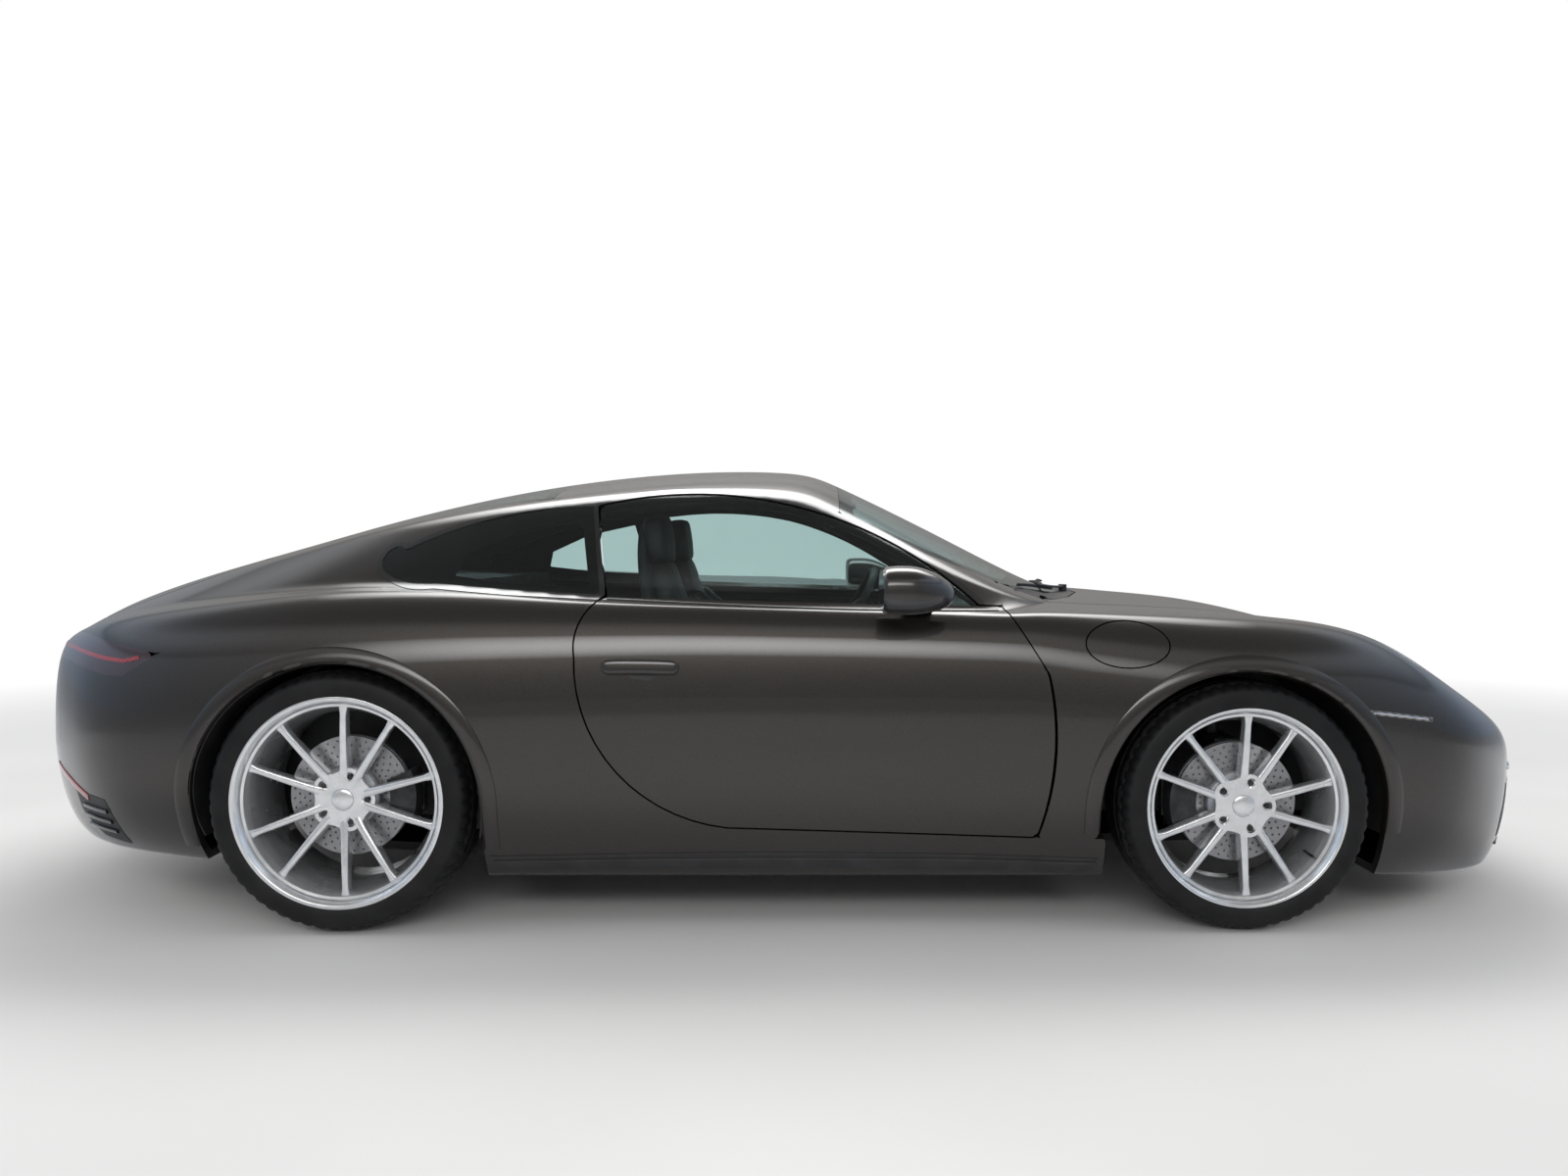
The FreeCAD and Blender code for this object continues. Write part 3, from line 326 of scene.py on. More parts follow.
def rod(start: Sequence[float], end: Sequence[float], rad: float, steps: int = 16) -> Form:
    """A round rod between two points."""
    start, end = np.asarray(start, float), np.asarray(end, float)
    ahead = end - start
    side = np.cross(ahead, (0, 0, 1) if abs(ahead[2]) < 0.9 * np.linalg.norm(ahead) else (1, 0, 0))
    return swept(np.stack([start, end]), ring_profile(rad, steps), side)


def curve_through(points: Sequence[Sequence[float]], steps: int = 12) -> Array:
    """A smooth path through points: between each two, a cubic whose end slopes are half the step between the
    neighbours."""
    knots = np.asarray(points, float)
    slope = np.gradient(knots, axis=0)
    t = np.linspace(0, 1, steps, endpoint=False)[:, None, None]
    a, b, m, n = knots[:-1], knots[1:], slope[:-1], slope[1:]
    path = ((2 * t**3 - 3 * t**2 + 1) * a + (t**3 - 2 * t**2 + t) * m + (3 * t**2 - 2 * t**3) * b
            + (t**3 - t**2) * n)
    return np.concatenate([path.transpose(1, 0, 2).reshape(-1, knots.shape[1]), knots[-1:]])


# Outlines and trimming


def arc_points(start: Array, through: Array, end: Array, steps: int = 14) -> Array:
    """The points of the circle's arc through three points, without its start."""
    (ax, ay), (bx, by), (cx, cy) = start, through, end
    d = 2 * (ax * (by - cy) + bx * (cy - ay) + cx * (ay - by))
    a2, b2, c2 = ax * ax + ay * ay, bx * bx + by * by, cx * cx + cy * cy
    ux = (a2 * (by - cy) + b2 * (cy - ay) + c2 * (ay - by)) / d
    uy = (a2 * (cx - bx) + b2 * (ax - cx) + c2 * (bx - ax)) / d
    first, middle, last = (math.atan2(y - uy, x - ux) for x, y in ((ax, ay), (bx, by), (cx, cy)))
    sweep = (last - first) % (2 * math.pi)
    if (middle - first) % (2 * math.pi) > sweep:
        sweep -= 2 * math.pi
    angle = first + sweep * np.arange(1, steps + 1) / steps
    rad = math.hypot(ax - ux, ay - uy)
    return np.stack([ux + rad * np.cos(angle), uy + rad * np.sin(angle)], 1)


class Outline:
    """A closed outline in millimetres: a start, then straight steps (u, v) or arcs (via u, v, to u, v)."""

    def __init__(self, start: tuple[float, float], *steps: tuple[float, ...]) -> None:
        points = [np.array([start], float)]
        for step in steps:
            here, end = points[-1][-1], np.array(step[-2:], float)
            if len(step) == 4:
                points.append(arc_points(here, np.array(step[:2], float), end))
            else:
                points.append(end[None])
        self.points = np.concatenate(points) * MM
        self.low = 0.0

    @classmethod
    def plan(cls, low: float, *half: tuple[float, float]) -> "Outline":
        """A plan outline for what lies above a low height, from its left half, given from front to rear."""
        rest = [(x, -y) for x, y in reversed(half) if y]
        outline = cls(half[0], *half[1:], *rest)
        outline.low = low
        return outline

    def distance(self, u: Array, v: Array) -> Array:
        """How far each place (u, v) lies inside the outline; outside is below zero."""
        a = self.points
        b = np.roll(a, -1, 0)
        best = np.full(u.shape, np.inf)
        odd = np.zeros(u.shape, bool)
        for (ax, ay), (bx, by) in zip(a, b):
            dx, dy = bx - ax, by - ay
            length = dx * dx + dy * dy
            if length < 1e-12:
                continue
            t = np.clip(((u - ax) * dx + (v - ay) * dy) / length, 0, 1)
            best = np.minimum(best, (u - ax - t * dx) ** 2 + (v - ay - t * dy) ** 2)
            if dy:
                odd ^= ((ay > v) != (by > v)) & (u < ax + dx * (v - ay) / dy)
        return np.where(odd, 1.0, -1.0) * np.sqrt(best)

    def side(self, points: Array) -> Array:
        """The distance inside as seen from the side."""
        return self.distance(points[:, 0], points[:, 2])

    def top(self, points: Array) -> Array:
        """The distance inside as seen from above."""
        return self.distance(points[:, 0], points[:, 1])

    def over(self, points: Array, grow: float = 0.0) -> Array:
        """The distance inside as seen from above, and outside for all that lies below the low height."""
        return np.where(points[:, 2] > self.low, self.top(points) + grow, -1.0)

    def upper(self, points: Array, grow: float = 0.0) -> Array:
        """The distance inside as seen from above, or above the low height where that is less."""
        return np.minimum(self.top(points) + grow, points[:, 2] - self.low)


def trimmed(form: Form, normals: Array, inside: Array) -> tuple[Form, Array]:
    """The part of a sheet where a value at its points is above zero, cut straight across its triangles.

    Args:
        form: the sheet.
        normals: a normal for each point.
        inside: the value at each point.

    Returns:
        The cut sheet and its points' normals.
    """
    good = inside > 0
    count = good[form.faces].sum(1)
    whole = form.faces[count == 3]
    pieces = [whole]
    starts, ends = [], []
    total = len(form.points)
    for number in (1, 2):
        faces = form.faces[count == number]
        odd = good[faces] if number == 1 else ~good[faces]
        shift = odd.argmax(1)
        faces = np.stack([faces[np.arange(len(faces)), (shift + k) % 3] for k in range(3)], 1)
        first = total + sum(len(s) for s in starts) + np.arange(len(faces))
        second = first + len(faces)
        starts += [faces[:, 0], faces[:, 0]]
        ends += [faces[:, 1], faces[:, 2]]
        if number == 1:
            pieces.append(np.stack([faces[:, 0], first, second], 1))
        else:
            pieces.append(np.stack([first, faces[:, 1], faces[:, 2]], 1))
            pieces.append(np.stack([first, faces[:, 2], second], 1))
    a, b = np.concatenate(starts), np.concatenate(ends)
    low, high = np.minimum(a, b), np.maximum(a, b)
    t = (inside[low] / (inside[low] - inside[high]))[:, None]
    points = np.concatenate([form.points, form.points[low] * (1 - t) + form.points[high] * t])
    normals = np.concatenate([normals, unit(normals[low] * (1 - t) + normals[high] * t)])
    _, first, back = np.unique(low * (total + 1) + high, return_index=True, return_inverse=True)
    link = np.concatenate([np.arange(total), total + first[back.reshape(-1)]])
    faces = link[np.concatenate(pieces)]
    used, faces = np.unique(faces, return_inverse=True)
    faces = faces.reshape(-1, 3)
    keep = (faces[:, 0] != faces[:, 1]) & (faces[:, 1] != faces[:, 2]) & (faces[:, 0] != faces[:, 2])
    return Form(points[used], faces[keep]), normals[used]


def walled(form: Form, normals: Array, wall: float | Array, lift: float = 0.0) -> Form:
    """A sheet given a wall: the outside, the same inside it along the normals, and an edge all round.

    Args:
        form: the sheet.
        normals: its points' outward normals.
        wall: the thickness, one for all or one for each point.
        lift: how far its outside stands above the sheet.

    Returns:
        The closed form with exact normals.
    """
    count = len(form.points)
    points = np.concatenate([form.points + normals * lift, form.points + normals * (lift - wall)])
    inner = form.faces[:, ::-1] + count
    edges = np.concatenate([form.faces[:, [0, 1]], form.faces[:, [1, 2]], form.faces[:, [2, 0]]])
    key = np.minimum(*edges.T) * count + np.maximum(*edges.T)
    _, back, number = np.unique(key, return_inverse=True, return_counts=True)
    a, b = edges[number[back.reshape(-1)] == 1].T
    rim = np.concatenate([np.stack([b, a, a + count], 1), np.stack([b, a + count, b + count], 1)])
    corner = points[rim]
    flat = unit(np.cross(corner[:, 1] - corner[:, 0], corner[:, 2] - corner[:, 0]))
    shading = np.concatenate([normals[form.faces], -normals[form.faces[:, ::-1]],
                              np.repeat(flat[:, None], 3, 1)])
    return Form(points, np.concatenate([form.faces, inner, rim]), shading)


# The section surface

# Columns, in millimetres: x at the floor, side and top; floor height; sill half width; widest half width
# and height; belt half width and height; rail half width and height; height on the centreline.
SECTIONS = np.array([
    (-2259, -2259, -2259, 400, 90, 130, 470, 100, 560, 60, 575, 580),
    (-2225, -2240, -2215, 270, 220, 320, 470, 250, 650, 150, 672, 680),
    (-2160, -2190, -2165, 215, 400, 480, 470, 400, 715, 260, 745, 755),
    (-2080, -2110, -2110, 192, 520, 620, 480, 530, 770, 350, 805, 822),
    (-1950, -2000, -2020, 187, 640, 745, 495, 620, 815, 410, 860, 880),
    (-1770, -1810, -1810, 185, 740, 868, 525, 668, 862, 448, 930, 962),
    (-1480, -1480, -1480, 170, 800, 916, 550, 695, 905, 475, 1020, 1058),
    (-1195, -1195, -1195, 150, 812, 926, 560, 712, 928, 500, 1095, 1138),
    (-900, -900, -900, 140, 812, 918, 560, 737, 926, 545, 1145, 1208),
    (-600, -600, -600, 140, 812, 898, 560, 757, 906, 578, 1175, 1258),
    (-280, -280, -280, 140, 812, 882, 560, 766, 891, 594, 1195, 1287),
    (20, 20, 20, 140, 812, 876, 560, 768, 881, 588, 1182, 1285),
    (180, 190, 190, 140, 812, 874, 560, 768, 876, 585, 1120, 1236),
    (400, 420, 500, 140, 812, 874, 560, 768, 870, 665, 985, 1087),
    (600, 620, 830, 140, 812, 876, 560, 768, 864, 640, 890, 925),
    (740, 740, 970, 140, 812, 880, 560, 748, 868, 460, 892, 902),
    (1000, 1000, 1120, 142, 812, 893, 560, 705, 862, 420, 878, 889),
    (1254, 1254, 1330, 145, 810, 905, 560, 682, 852, 405, 858, 868),
    (1500, 1500, 1530, 143, 800, 893, 550, 668, 832, 405, 815, 822),
    (1690, 1700, 1740, 130, 770, 862, 530, 655, 775, 420, 745, 748),
    (1850, 1880, 1920, 118, 705, 818, 490, 640, 662, 420, 662, 668),
    (2040, 2040, 2070, 112, 600, 690, 445, 560, 568, 385, 585, 590),
    (2155, 2155, 2170, 112, 430, 540, 400, 440, 497, 300, 515, 520),
    (2225, 2225, 2232, 130, 290, 372, 360, 300, 445, 210, 460, 465),
    (2259, 2259, 2259, 180, 120, 180, 335, 140, 390, 80, 400, 402),
], float)

STRIP_STEPS = (8, 30, 26, 26, 30)


class Skin:
    """The body's outer surface as a grid, u along the car and v round the half section."""

    def __init__(self, spacing: float = 0.0125) -> None:
        """Works out the left half's grid and normals.

        Args:
            spacing: the largest step between rows, in metres.
        """
        poles = [[self.firmed(column) for column in strip] for strip in self.strip_poles()]
        count = len(SECTIONS)
        fine = np.linspace(0, count - 3, 4000)
        guide = np.stack([self.basis(count, fine) @ column for strip in poles for column in strip], 1)
        step = np.linalg.norm(np.diff(guide, axis=0), axis=2).max(1)
        travel = np.concatenate([[0], np.cumsum(step)])
        rows = int(travel[-1] / spacing) + 1
        along = self.basis(count, np.interp(np.linspace(0, travel[-1], rows), travel, fine))
        parts = []
        for number, (strip, steps) in enumerate(zip(poles, STRIP_STEPS)):
            columns = [along @ column for column in strip]
            t = np.linspace(0, 1, steps + 1)[0 if number == 0 else 1:, None, None]
            if len(columns) == 2:
                parts.append(columns[0] * (1 - t) + columns[1] * t)
            else:
                parts.append(columns[0] * (1 - t) ** 2 + columns[1] * 2 * t * (1 - t) + columns[2] * t**2)
        grid = np.concatenate(parts).transpose(1, 0, 2)
        grid = self.softened(grid)
        normals = self.grid_normals(grid)
        self.grid, self.normals = self.capped(grid, normals)

    @staticmethod
    def strip_poles() -> list[list[Array]]:
        """The poles of the half section's five strips: floor, low side, shoulder, glass side and crown."""
        x_low, x_side, x_top, floor, sill, wide, z_wide, belt, z_belt, rail, z_rail, top = (SECTIONS * MM).T
        bulge = 0.06 * (z_rail - z_belt)
        zero = 0 * floor

        def pole(*axes: Array) -> Array:
            return np.stack(axes, -1)

        low, widest = pole(x_low, sill, floor), pole(x_side, wide, z_wide)
        shoulder = pole(x_side, belt, z_belt)
        edge = pole((x_side + x_top) / 2, rail, z_rail)
        return [
            [pole(x_low, zero, floor), low],
            [low, pole((x_low + x_side) / 2, wide, floor + 0.3 * (z_wide - floor)), widest],
            [widest, pole(x_side, wide, z_belt), shoulder],
            [shoulder, pole(0.75 * x_side + 0.25 * x_top, (belt + rail) / 2 + bulge,
                            (z_belt + z_rail) / 2 + bulge),
             edge],
            [edge, pole(0.15 * x_side + 0.85 * x_top, 0.6 * rail, top), pole(x_top, zero, top)],
        ]

    @staticmethod
    def firmed(points: Array, rounds: int = 3) -> Array:
        """Poles of a uniform cubic spline that passes through the points, by repeated correction."""
        poles = points.copy()
        for _ in range(rounds):
            met = poles.copy()
            met[1:-1] = (poles[:-2] + 4 * poles[1:-1] + poles[2:]) / 6
            poles += points - met
        return poles

    @staticmethod
    def basis(count: int, t: Array) -> Array:
        """The weights of a clamped uniform cubic spline's poles at each t, by the usual recurrence."""
        knots = np.concatenate([[0] * 3, np.arange(count - 2), [count - 3] * 3]).astype(float)
        t = np.clip(t, 0, count - 3 - 1e-9)
        span = np.floor(t).astype(int) + 3
        weights = np.ones((len(t), 1))
        for degree in range(1, 4):
            grown = np.zeros((len(t), degree + 1))
            for r in range(degree):
                left, right = knots[span - degree + 1 + r], knots[span + 1 + r]
                share = (right - t) / (right - left)
                grown[:, r] += weights[:, r] * share
                grown[:, r + 1] += weights[:, r] * (1 - share)
            weights = grown
        full = np.zeros((len(t), count))
        for r in range(4):
            full[np.arange(len(t)), span - 3 + r] = weights[:, r]
        return full

    @staticmethod
    def softened(grid: Array, reach: int = 5, rounds: int = 10) -> Array:
        """The grid with its creases at the belt and rail eased: near them each point moves towards the middle
        of its neighbours round the section."""
        columns = np.arange(grid.shape[1])
        seams = np.cumsum(STRIP_STEPS)[2:4]
        near = np.abs(columns[:, None] - seams).min(1)
        share = (0.5 * np.clip(1 - near / reach, 0, 1))[1:-1, None]
        grid = grid.copy()
        for _ in range(rounds):
            middle = (grid[:, :-2] + grid[:, 2:]) / 2
            grid[:, 1:-1] += share * (middle - grid[:, 1:-1])
        return grid

    @staticmethod
    def grid_normals(grid: Array) -> Array:
        """Outward normals: the steps along v and u, crossed. At the centreline v runs straight across."""
        across = np.gradient(grid, axis=1)
        across[:, -1] = (0, -1, 0)
        across[:, 0] = (0, 1, 0)
        return unit(np.cross(unit(across), unit(np.gradient(grid, axis=0))))

    @staticmethod
    def capped(grid: Array, normals: Array) -> tuple[Array, Array]:
        """The grid with flat ends at tail and nose: the end row again, and then drawn to the centreline."""
        ends, facing = [], []
        for row, sign in ((0, -1.0), (-1, 1.0)):
            edge = grid[row:row + 1] if row == 0 else grid[-1:]
            middle = edge * (1.0, 0.0, 1.0)
            pair = [middle, (middle + edge) / 2, edge]
            ends.append(np.concatenate(pair if row == 0 else pair[::-1]))
            facing.append(np.broadcast_to((sign, 0.0, 0.0), ends[-1].shape))
        return (np.concatenate([ends[0], grid, ends[1]]), np.concatenate([facing[0], normals, facing[1]]))

    def half(self) -> tuple[Form, Array]:
        """The left half as a sheet, with its points' normals."""
        faces = cells(*self.grid.shape[:2])[:, ::-1]
        return Form(self.grid.reshape(-1, 3), faces), self.normals.reshape(-1, 3)

    def whole(self) -> tuple[Form, Array]:
        """Both halves as one sheet, sharing the centreline, with its points' normals."""
        flip = np.array([1.0, -1.0, 1.0])
        grid = np.concatenate([self.grid, self.grid[:, -2::-1] * flip], 1)
        normals = np.concatenate([self.normals, self.normals[:, -2::-1] * flip], 1)
        faces = cells(*grid.shape[:2])[:, ::-1]
        return Form(grid.reshape(-1, 3), faces), normals.reshape(-1, 3)

    def nearest(self, u: Array, v: Array, axes: tuple[int, int], usable: Array) -> tuple[Array, Array]:
        """The grid's point and normal nearest to places seen along the remaining axis."""
        pool = self.grid.reshape(-1, 3)[usable]
        found = np.empty(len(u), int)
        for start in range(0, len(u), 400):
            part = slice(start, start + 400)
            gap_u, gap_v = pool[None, :, axes[0]] - u[part, None], pool[None, :, axes[1]] - v[part, None]
            gap = gap_u ** 2 + gap_v ** 2
            found[part] = gap.argmin(1)
        return pool[found], self.normals.reshape(-1, 3)[usable][found]

    def reach(self, x: Array, z: Array) -> tuple[Array, Array]:
        """The left side's Y and normal at places (x, z): the nearest grid point, moved along its plane."""
        x, z = (np.atleast_1d(np.asarray(a, float)) for a in (x, z))
        usable = np.flatnonzero(self.normals.reshape(-1, 3)[:, 1] > 0.12)
        point, normal = self.nearest(x, z, (0, 2), usable)
        step = ((x - point[:, 0]) * normal[:, 0] + (z - point[:, 2]) * normal[:, 2]) / normal[:, 1]
        return point[:, 1] - step, normal

    def height(self, x: Array, y: Array) -> tuple[Array, Array]:
        """The top's Z and normal at places (x, y) of the left half, in the same way."""
        x, y = (np.atleast_1d(np.asarray(a, float)) for a in (x, y))
        usable = np.flatnonzero(self.normals.reshape(-1, 3)[:, 2] > 0.12)
        point, normal = self.nearest(x, np.abs(y), (0, 1), usable)
        step = ((x - point[:, 0]) * normal[:, 0] + (np.abs(y) - point[:, 1]) * normal[:, 1]) / normal[:, 2]
        return point[:, 2] - step, normal * np.stack([0 * y + 1, np.where(y < 0, -1.0, 1.0), 0 * y + 1], 1)

    def side_patch(self, outline: Outline, step: float, wall: float, lift: float,
                   keep: Callable[[Array], Array] | None = None) -> Form:
        """A fine patch of the left side inside an outline, over a grid of x and z.

        Args:
            outline: what to keep, seen from the side.
            step: the grid's step.
            wall: the patch's thickness.
            lift: how far it stands proud.
            keep: what to keep instead, as a value at points that is above zero inside.

        Returns:
            The patch as a closed form.
        """
        low, high = outline.points.min(0) - 2 * step, outline.points.max(0) + 2 * step
        x, z = (np.arange(low[i], high[i] + step, step) for i in (0, 1))
        gx, gz = np.meshgrid(x, z, indexing="ij")
        y, normal = self.reach(gx.ravel(), gz.ravel())
        points = np.stack([gx.ravel(), y, gz.ravel()], 1)
        sheet = Form(points, cells(*gx.shape)[:, ::-1])
        inside = outline.side(points) if keep is None else keep(points)
        cut, shading = trimmed(sheet, self.steady(normal, gx.shape), inside)
        return walled(cut, shading, wall, lift)

    def track(self, knots: Sequence[tuple[float, float]], steps: int = 10,
              lift: float = 0.0) -> tuple[Array, Array]:
        """Points and normals of the left side along a smooth path of (x, z) in millimetres."""
        path = curve_through(np.asarray(knots, float) * MM, steps)
        y, normal = self.reach(path[:, 0], path[:, 1])
        normal = self.even(normal)
        return np.stack([path[:, 0], y, path[:, 1]], 1) + normal * lift, normal

    def crest(self, knots: Sequence[tuple[float, float]], steps: int = 10,
              lift: float = 0.0) -> tuple[Array, Array]:
        """Points and normals of the top along a smooth path of (x, y) in millimetres."""
        path = curve_through(np.asarray(knots, float) * MM, steps)
        z, normal = self.height(path[:, 0], path[:, 1])
        normal = self.even(normal)
        return np.stack([path[:, 0], path[:, 1], z], 1) + normal * lift, normal

    @staticmethod
    def even(normals: Array) -> Array:
        """Normals along a path, evened out with their neighbours."""
        normals = normals.copy()
        for _ in range(6):
            normals[1:-1] = (normals[:-2] + 2 * normals[1:-1] + normals[2:]) / 4
        return unit(normals)

    def depth(self, y: Array, z: Array, sign: float) -> tuple[Array, Array]:
        """The nose's (sign 1) or tail's (sign -1) X and normal at places (y, z)."""
        y, z = (np.atleast_1d(np.asarray(a, float)) for a in (y, z))
        usable = np.flatnonzero(self.normals.reshape(-1, 3)[:, 0] * sign > 0.12)
        point, normal = self.nearest(np.abs(y), z, (1, 2), usable)
        step = ((np.abs(y) - point[:, 1]) * normal[:, 1] + (z - point[:, 2]) * normal[:, 2]) / normal[:, 0]
        x = np.clip(point[:, 0] - step, -2.2585, 2.2585)
        return x, normal * np.stack([0 * y + 1, np.where(y < 0, -1.0, 1.0), 0 * y + 1], 1)

    def end_patch(self, outline: Outline, step: float, wall: float, lift: float, sign: float) -> Form:
        """A fine patch of the nose or tail inside an outline of (y, z), over a grid of y and z."""
        low, high = outline.points.min(0) - 2 * step, outline.points.max(0) + 2 * step
        y, z = (np.arange(low[i], high[i] + step, step) for i in (0, 1))
        gy, gz = np.meshgrid(y, z, indexing="ij")
        x, normal = self.depth(gy.ravel(), gz.ravel(), sign)
        points = np.stack([x, gy.ravel(), gz.ravel()], 1)
        faces = cells(*gy.shape)
        inside = outline.distance(points[:, 1], points[:, 2])
        cut, shading = trimmed(Form(points, faces if sign > 0 else faces[:, ::-1]),
                               self.steady(normal, gy.shape), inside)
        return walled(cut, shading, wall, lift)

    @staticmethod
    def steady(normals: Array, shape: tuple[int, int]) -> Array:
        """Normals looked up on a grid, evened out with their neighbours, because nearest points step."""
        grid = normals.reshape(*shape, 3).copy()
        for _ in range(4):
            grid[1:-1] = (grid[:-2] + 2 * grid[1:-1] + grid[2:]) / 4
            grid[:, 1:-1] = (grid[:, :-2] + 2 * grid[:, 1:-1] + grid[:, 2:]) / 4
        return unit(grid).reshape(-1, 3)


# Outlines of the panels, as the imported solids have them

FRONT_AXLE = 1.2545
REAR_AXLE = -1.1955
GAP = 0.0055

DOOR_FACE = Outline((611, 876), (718, 700), (736, 480, 690, 256), (-150, 284), (-424, 416, -558, 749),
                    (-548, 840, -493, 905))
PANE_FACE = Outline((-487, 905), (-530, 1160), (-229, 1193, 70, 1149), (312, 1052, 546, 878))
QUARTER_FACE = Outline((-508, 911), (-548, 1160), (-860, 1122, -1087, 1036), (-1150, 1000, -1131, 972),
                       (-1060, 944, -974, 941), (-760, 924))
LAMP_FACE = Outline((-1692, 757), (-1861, 785), (-1950, 800), (-2400, 806), (-2400, 738), (-2007, 722),
                    (-1852, 697), (-1789, 694))
REAR_BUMPER_FACE = Outline((-1280, 660), (-1357, 723), (-1431, 750), (-1619, 769), (-1692, 757), (-1789, 694),
                           (-1852, 697), (-2007, 722), (-2400, 738), (-2400, 0), (-1400, 0), (-1400, 216))
FRONT_BUMPER_FACE = Outline((1450, 620), (1574, 602), (1835, 565), (1885, 590), (1965, 650), (2400, 650),
                            (2400, 0), (1400, 0), (1400, 216))
FENDER_FACE = Outline((617, 876), (723, 700), (741, 480, 696, 250), (880, 250), (1450, 620), (1574, 602),
                      (1835, 565), (1885, 590), (1965, 650), (2100, 700), (2100, 1000), (617, 1000))
SIDE_FACE = Outline((880, 0), (880, 250), (696, 250), (741, 480, 723, 700), (617, 876), (617, 1000),
                    (760, 1000), (760, 1400), (-2400, 1400), (-2400, 806), (-1950, 800), (-1861, 785),
                    (-1692, 757), (-1619, 769), (-1431, 750), (-1357, 723), (-1280, 660), (-1400, 216),
                    (-1400, 0))
SCREEN_PLAN = Outline.plan(0.80, (893, 0), (872, 250), (800, 430), (640, 598), (430, 612), (300, 590),
                           (166, 556), (172, 280), (176, 0))
COWL_PLAN = Outline.plan(0.80, (951, 0), (932, 262), (868, 446), (757, 577), (640, 598), (800, 430),
                         (872, 250), (893, 0))
ROOF_PLAN = Outline.plan(1.00, (176, 0), (172, 280), (166, 556), (-200, 560), (-680, 520), (-668, 260),
                         (-664, 0))
REAR_GLASS_PLAN = Outline.plan(0.90, (-664, 0), (-668, 260), (-680, 520), (-1100, 470), (-1560, 400),
                               (-1624, 330), (-1638, 0))
ENGINE_LID_PLAN = Outline.plan(0.78, (-1652, 0), (-1638, 330), (-1570, 412), (-1700, 460), (-1860, 520),
                               (-1990, 560), (-2070, 400), (-2120, 200), (-2136, 0))
LID_PLAN = Outline.plan(0.56, (1966, 0), (1950, 220), (1900, 350), (1820, 425), (1600, 478), (1300, 520),
                        (1000, 565), (860, 590), (757, 577), (868, 446), (932, 262), (951, 0))


def least(*values: Array) -> Array:
    """The least of several distances: inside all of them."""
    return np.minimum.reduce(values)


def underside(points: Array) -> Array:
    """How far points lie inside the flat underside between the sills."""
    return least(0.682 - points[:, 1], 0.216 - points[:, 2])


ARCHES = ((FRONT_AXLE, 0.318, 0.393), (REAR_AXLE - 0.008, 0.343, 0.393))


def arch(points: Array, rear: bool) -> Array:
    """How far points lie inside a wheel arch: a circle above the axle's height and straight below it."""
    x, z, rad = ARCHES[rear]
    return rad - np.hypot(points[:, 0] - x, np.maximum(points[:, 2] - z, 0))


LAMP_CENTRE = np.array([1.742, 0.640, 0.712])


def lamp_axes() -> tuple[Array, Array, Array]:
    """A headlamp's long direction, its width direction and its axis, which looks forward, out and up."""
    axis = unit(np.array([0.60, 0.30, 0.74]))
    long = np.array([1.0, 0.0, -0.8])
    long = unit(long - (long @ axis) * axis)
    return long, np.cross(axis, long), axis


def lamp_oval(points: Array, grow: float = 0.0) -> Array:
    """How far points lie inside a headlamp's oval, seen along its axis."""
    long, wide, _ = lamp_axes()
    half_long, half_wide = 0.168 + grow, 0.112 + grow
    away = points - LAMP_CENTRE
    ratio = np.hypot(away @ long / half_long, away @ wide / half_wide)
    return np.where(points[:, 0] > 1.4, (1 - ratio) * half_wide, -0.2)


def flap_oval(points: Array, grow: float = 0.0) -> Array:
    """How far points lie inside the fuel flap's oval, seen from the side."""
    ratio = np.hypot((points[:, 0] - 0.936) / (0.112 + grow), (points[:, 2] - 0.780) / (0.060 + grow))
    return (1 - ratio) * (0.060 + grow)


# Finishes


class Tree:
    """A node tree, with short ways to add and join nodes."""

    def __init__(self, tree: bpy.types.NodeTree) -> None:
        self.tree = tree

    def add(self, kind: str, inputs: dict[str | int, object] | None = None,
            **settings: object) -> bpy.types.Node:
        """Adds a node.

        Args:
            kind: Blender's name for it.
            inputs: values or sockets for its inputs.
            settings: its own settings.

        Returns:
            The node.
        """
        node = self.tree.nodes.new(kind)
        for key, value in settings.items():
            setattr(node, key, value)
        for key, value in (inputs or {}).items():
            self.put(node.inputs[key], value)
        return node

    def put(self, socket: bpy.types.NodeSocket, value: object) -> None:
        """Joins a socket to another, or sets its value."""
        if isinstance(value, bpy.types.NodeSocket):
            self.tree.links.new(value, socket)
        else:
            socket.default_value = value

    def math(self, operation: str, *values: object) -> bpy.types.NodeSocket:
        """One operation on values or sockets."""
        return self.add("ShaderNodeMath", dict(enumerate(values)), operation=operation).outputs[0]

    def tint(self, blend: str, share: object, first: object, second: object) -> bpy.types.NodeSocket:
        """Two colours blended by a share."""
        inputs = {0: share, 6: first, 7: second}
        return self.add("ShaderNodeMix", inputs, data_type="RGBA", blend_type=blend).outputs[2]

    def either(self, share: object, first: object, second: object) -> bpy.types.NodeSocket:
        """Two shaders mixed by a share."""
        return self.add("ShaderNodeMixShader", {0: share, 1: first, 2: second}).outputs[0]

    def span(self, value: object, start: object, end: object, low: object,
             high: object) -> bpy.types.NodeSocket:
        """A value mapped from one range to another and held inside it."""
        inputs = {"Value": value, "From Min": start, "From Max": end, "To Min": low, "To Max": high}
        return self.add("ShaderNodeMapRange", inputs).outputs[0]


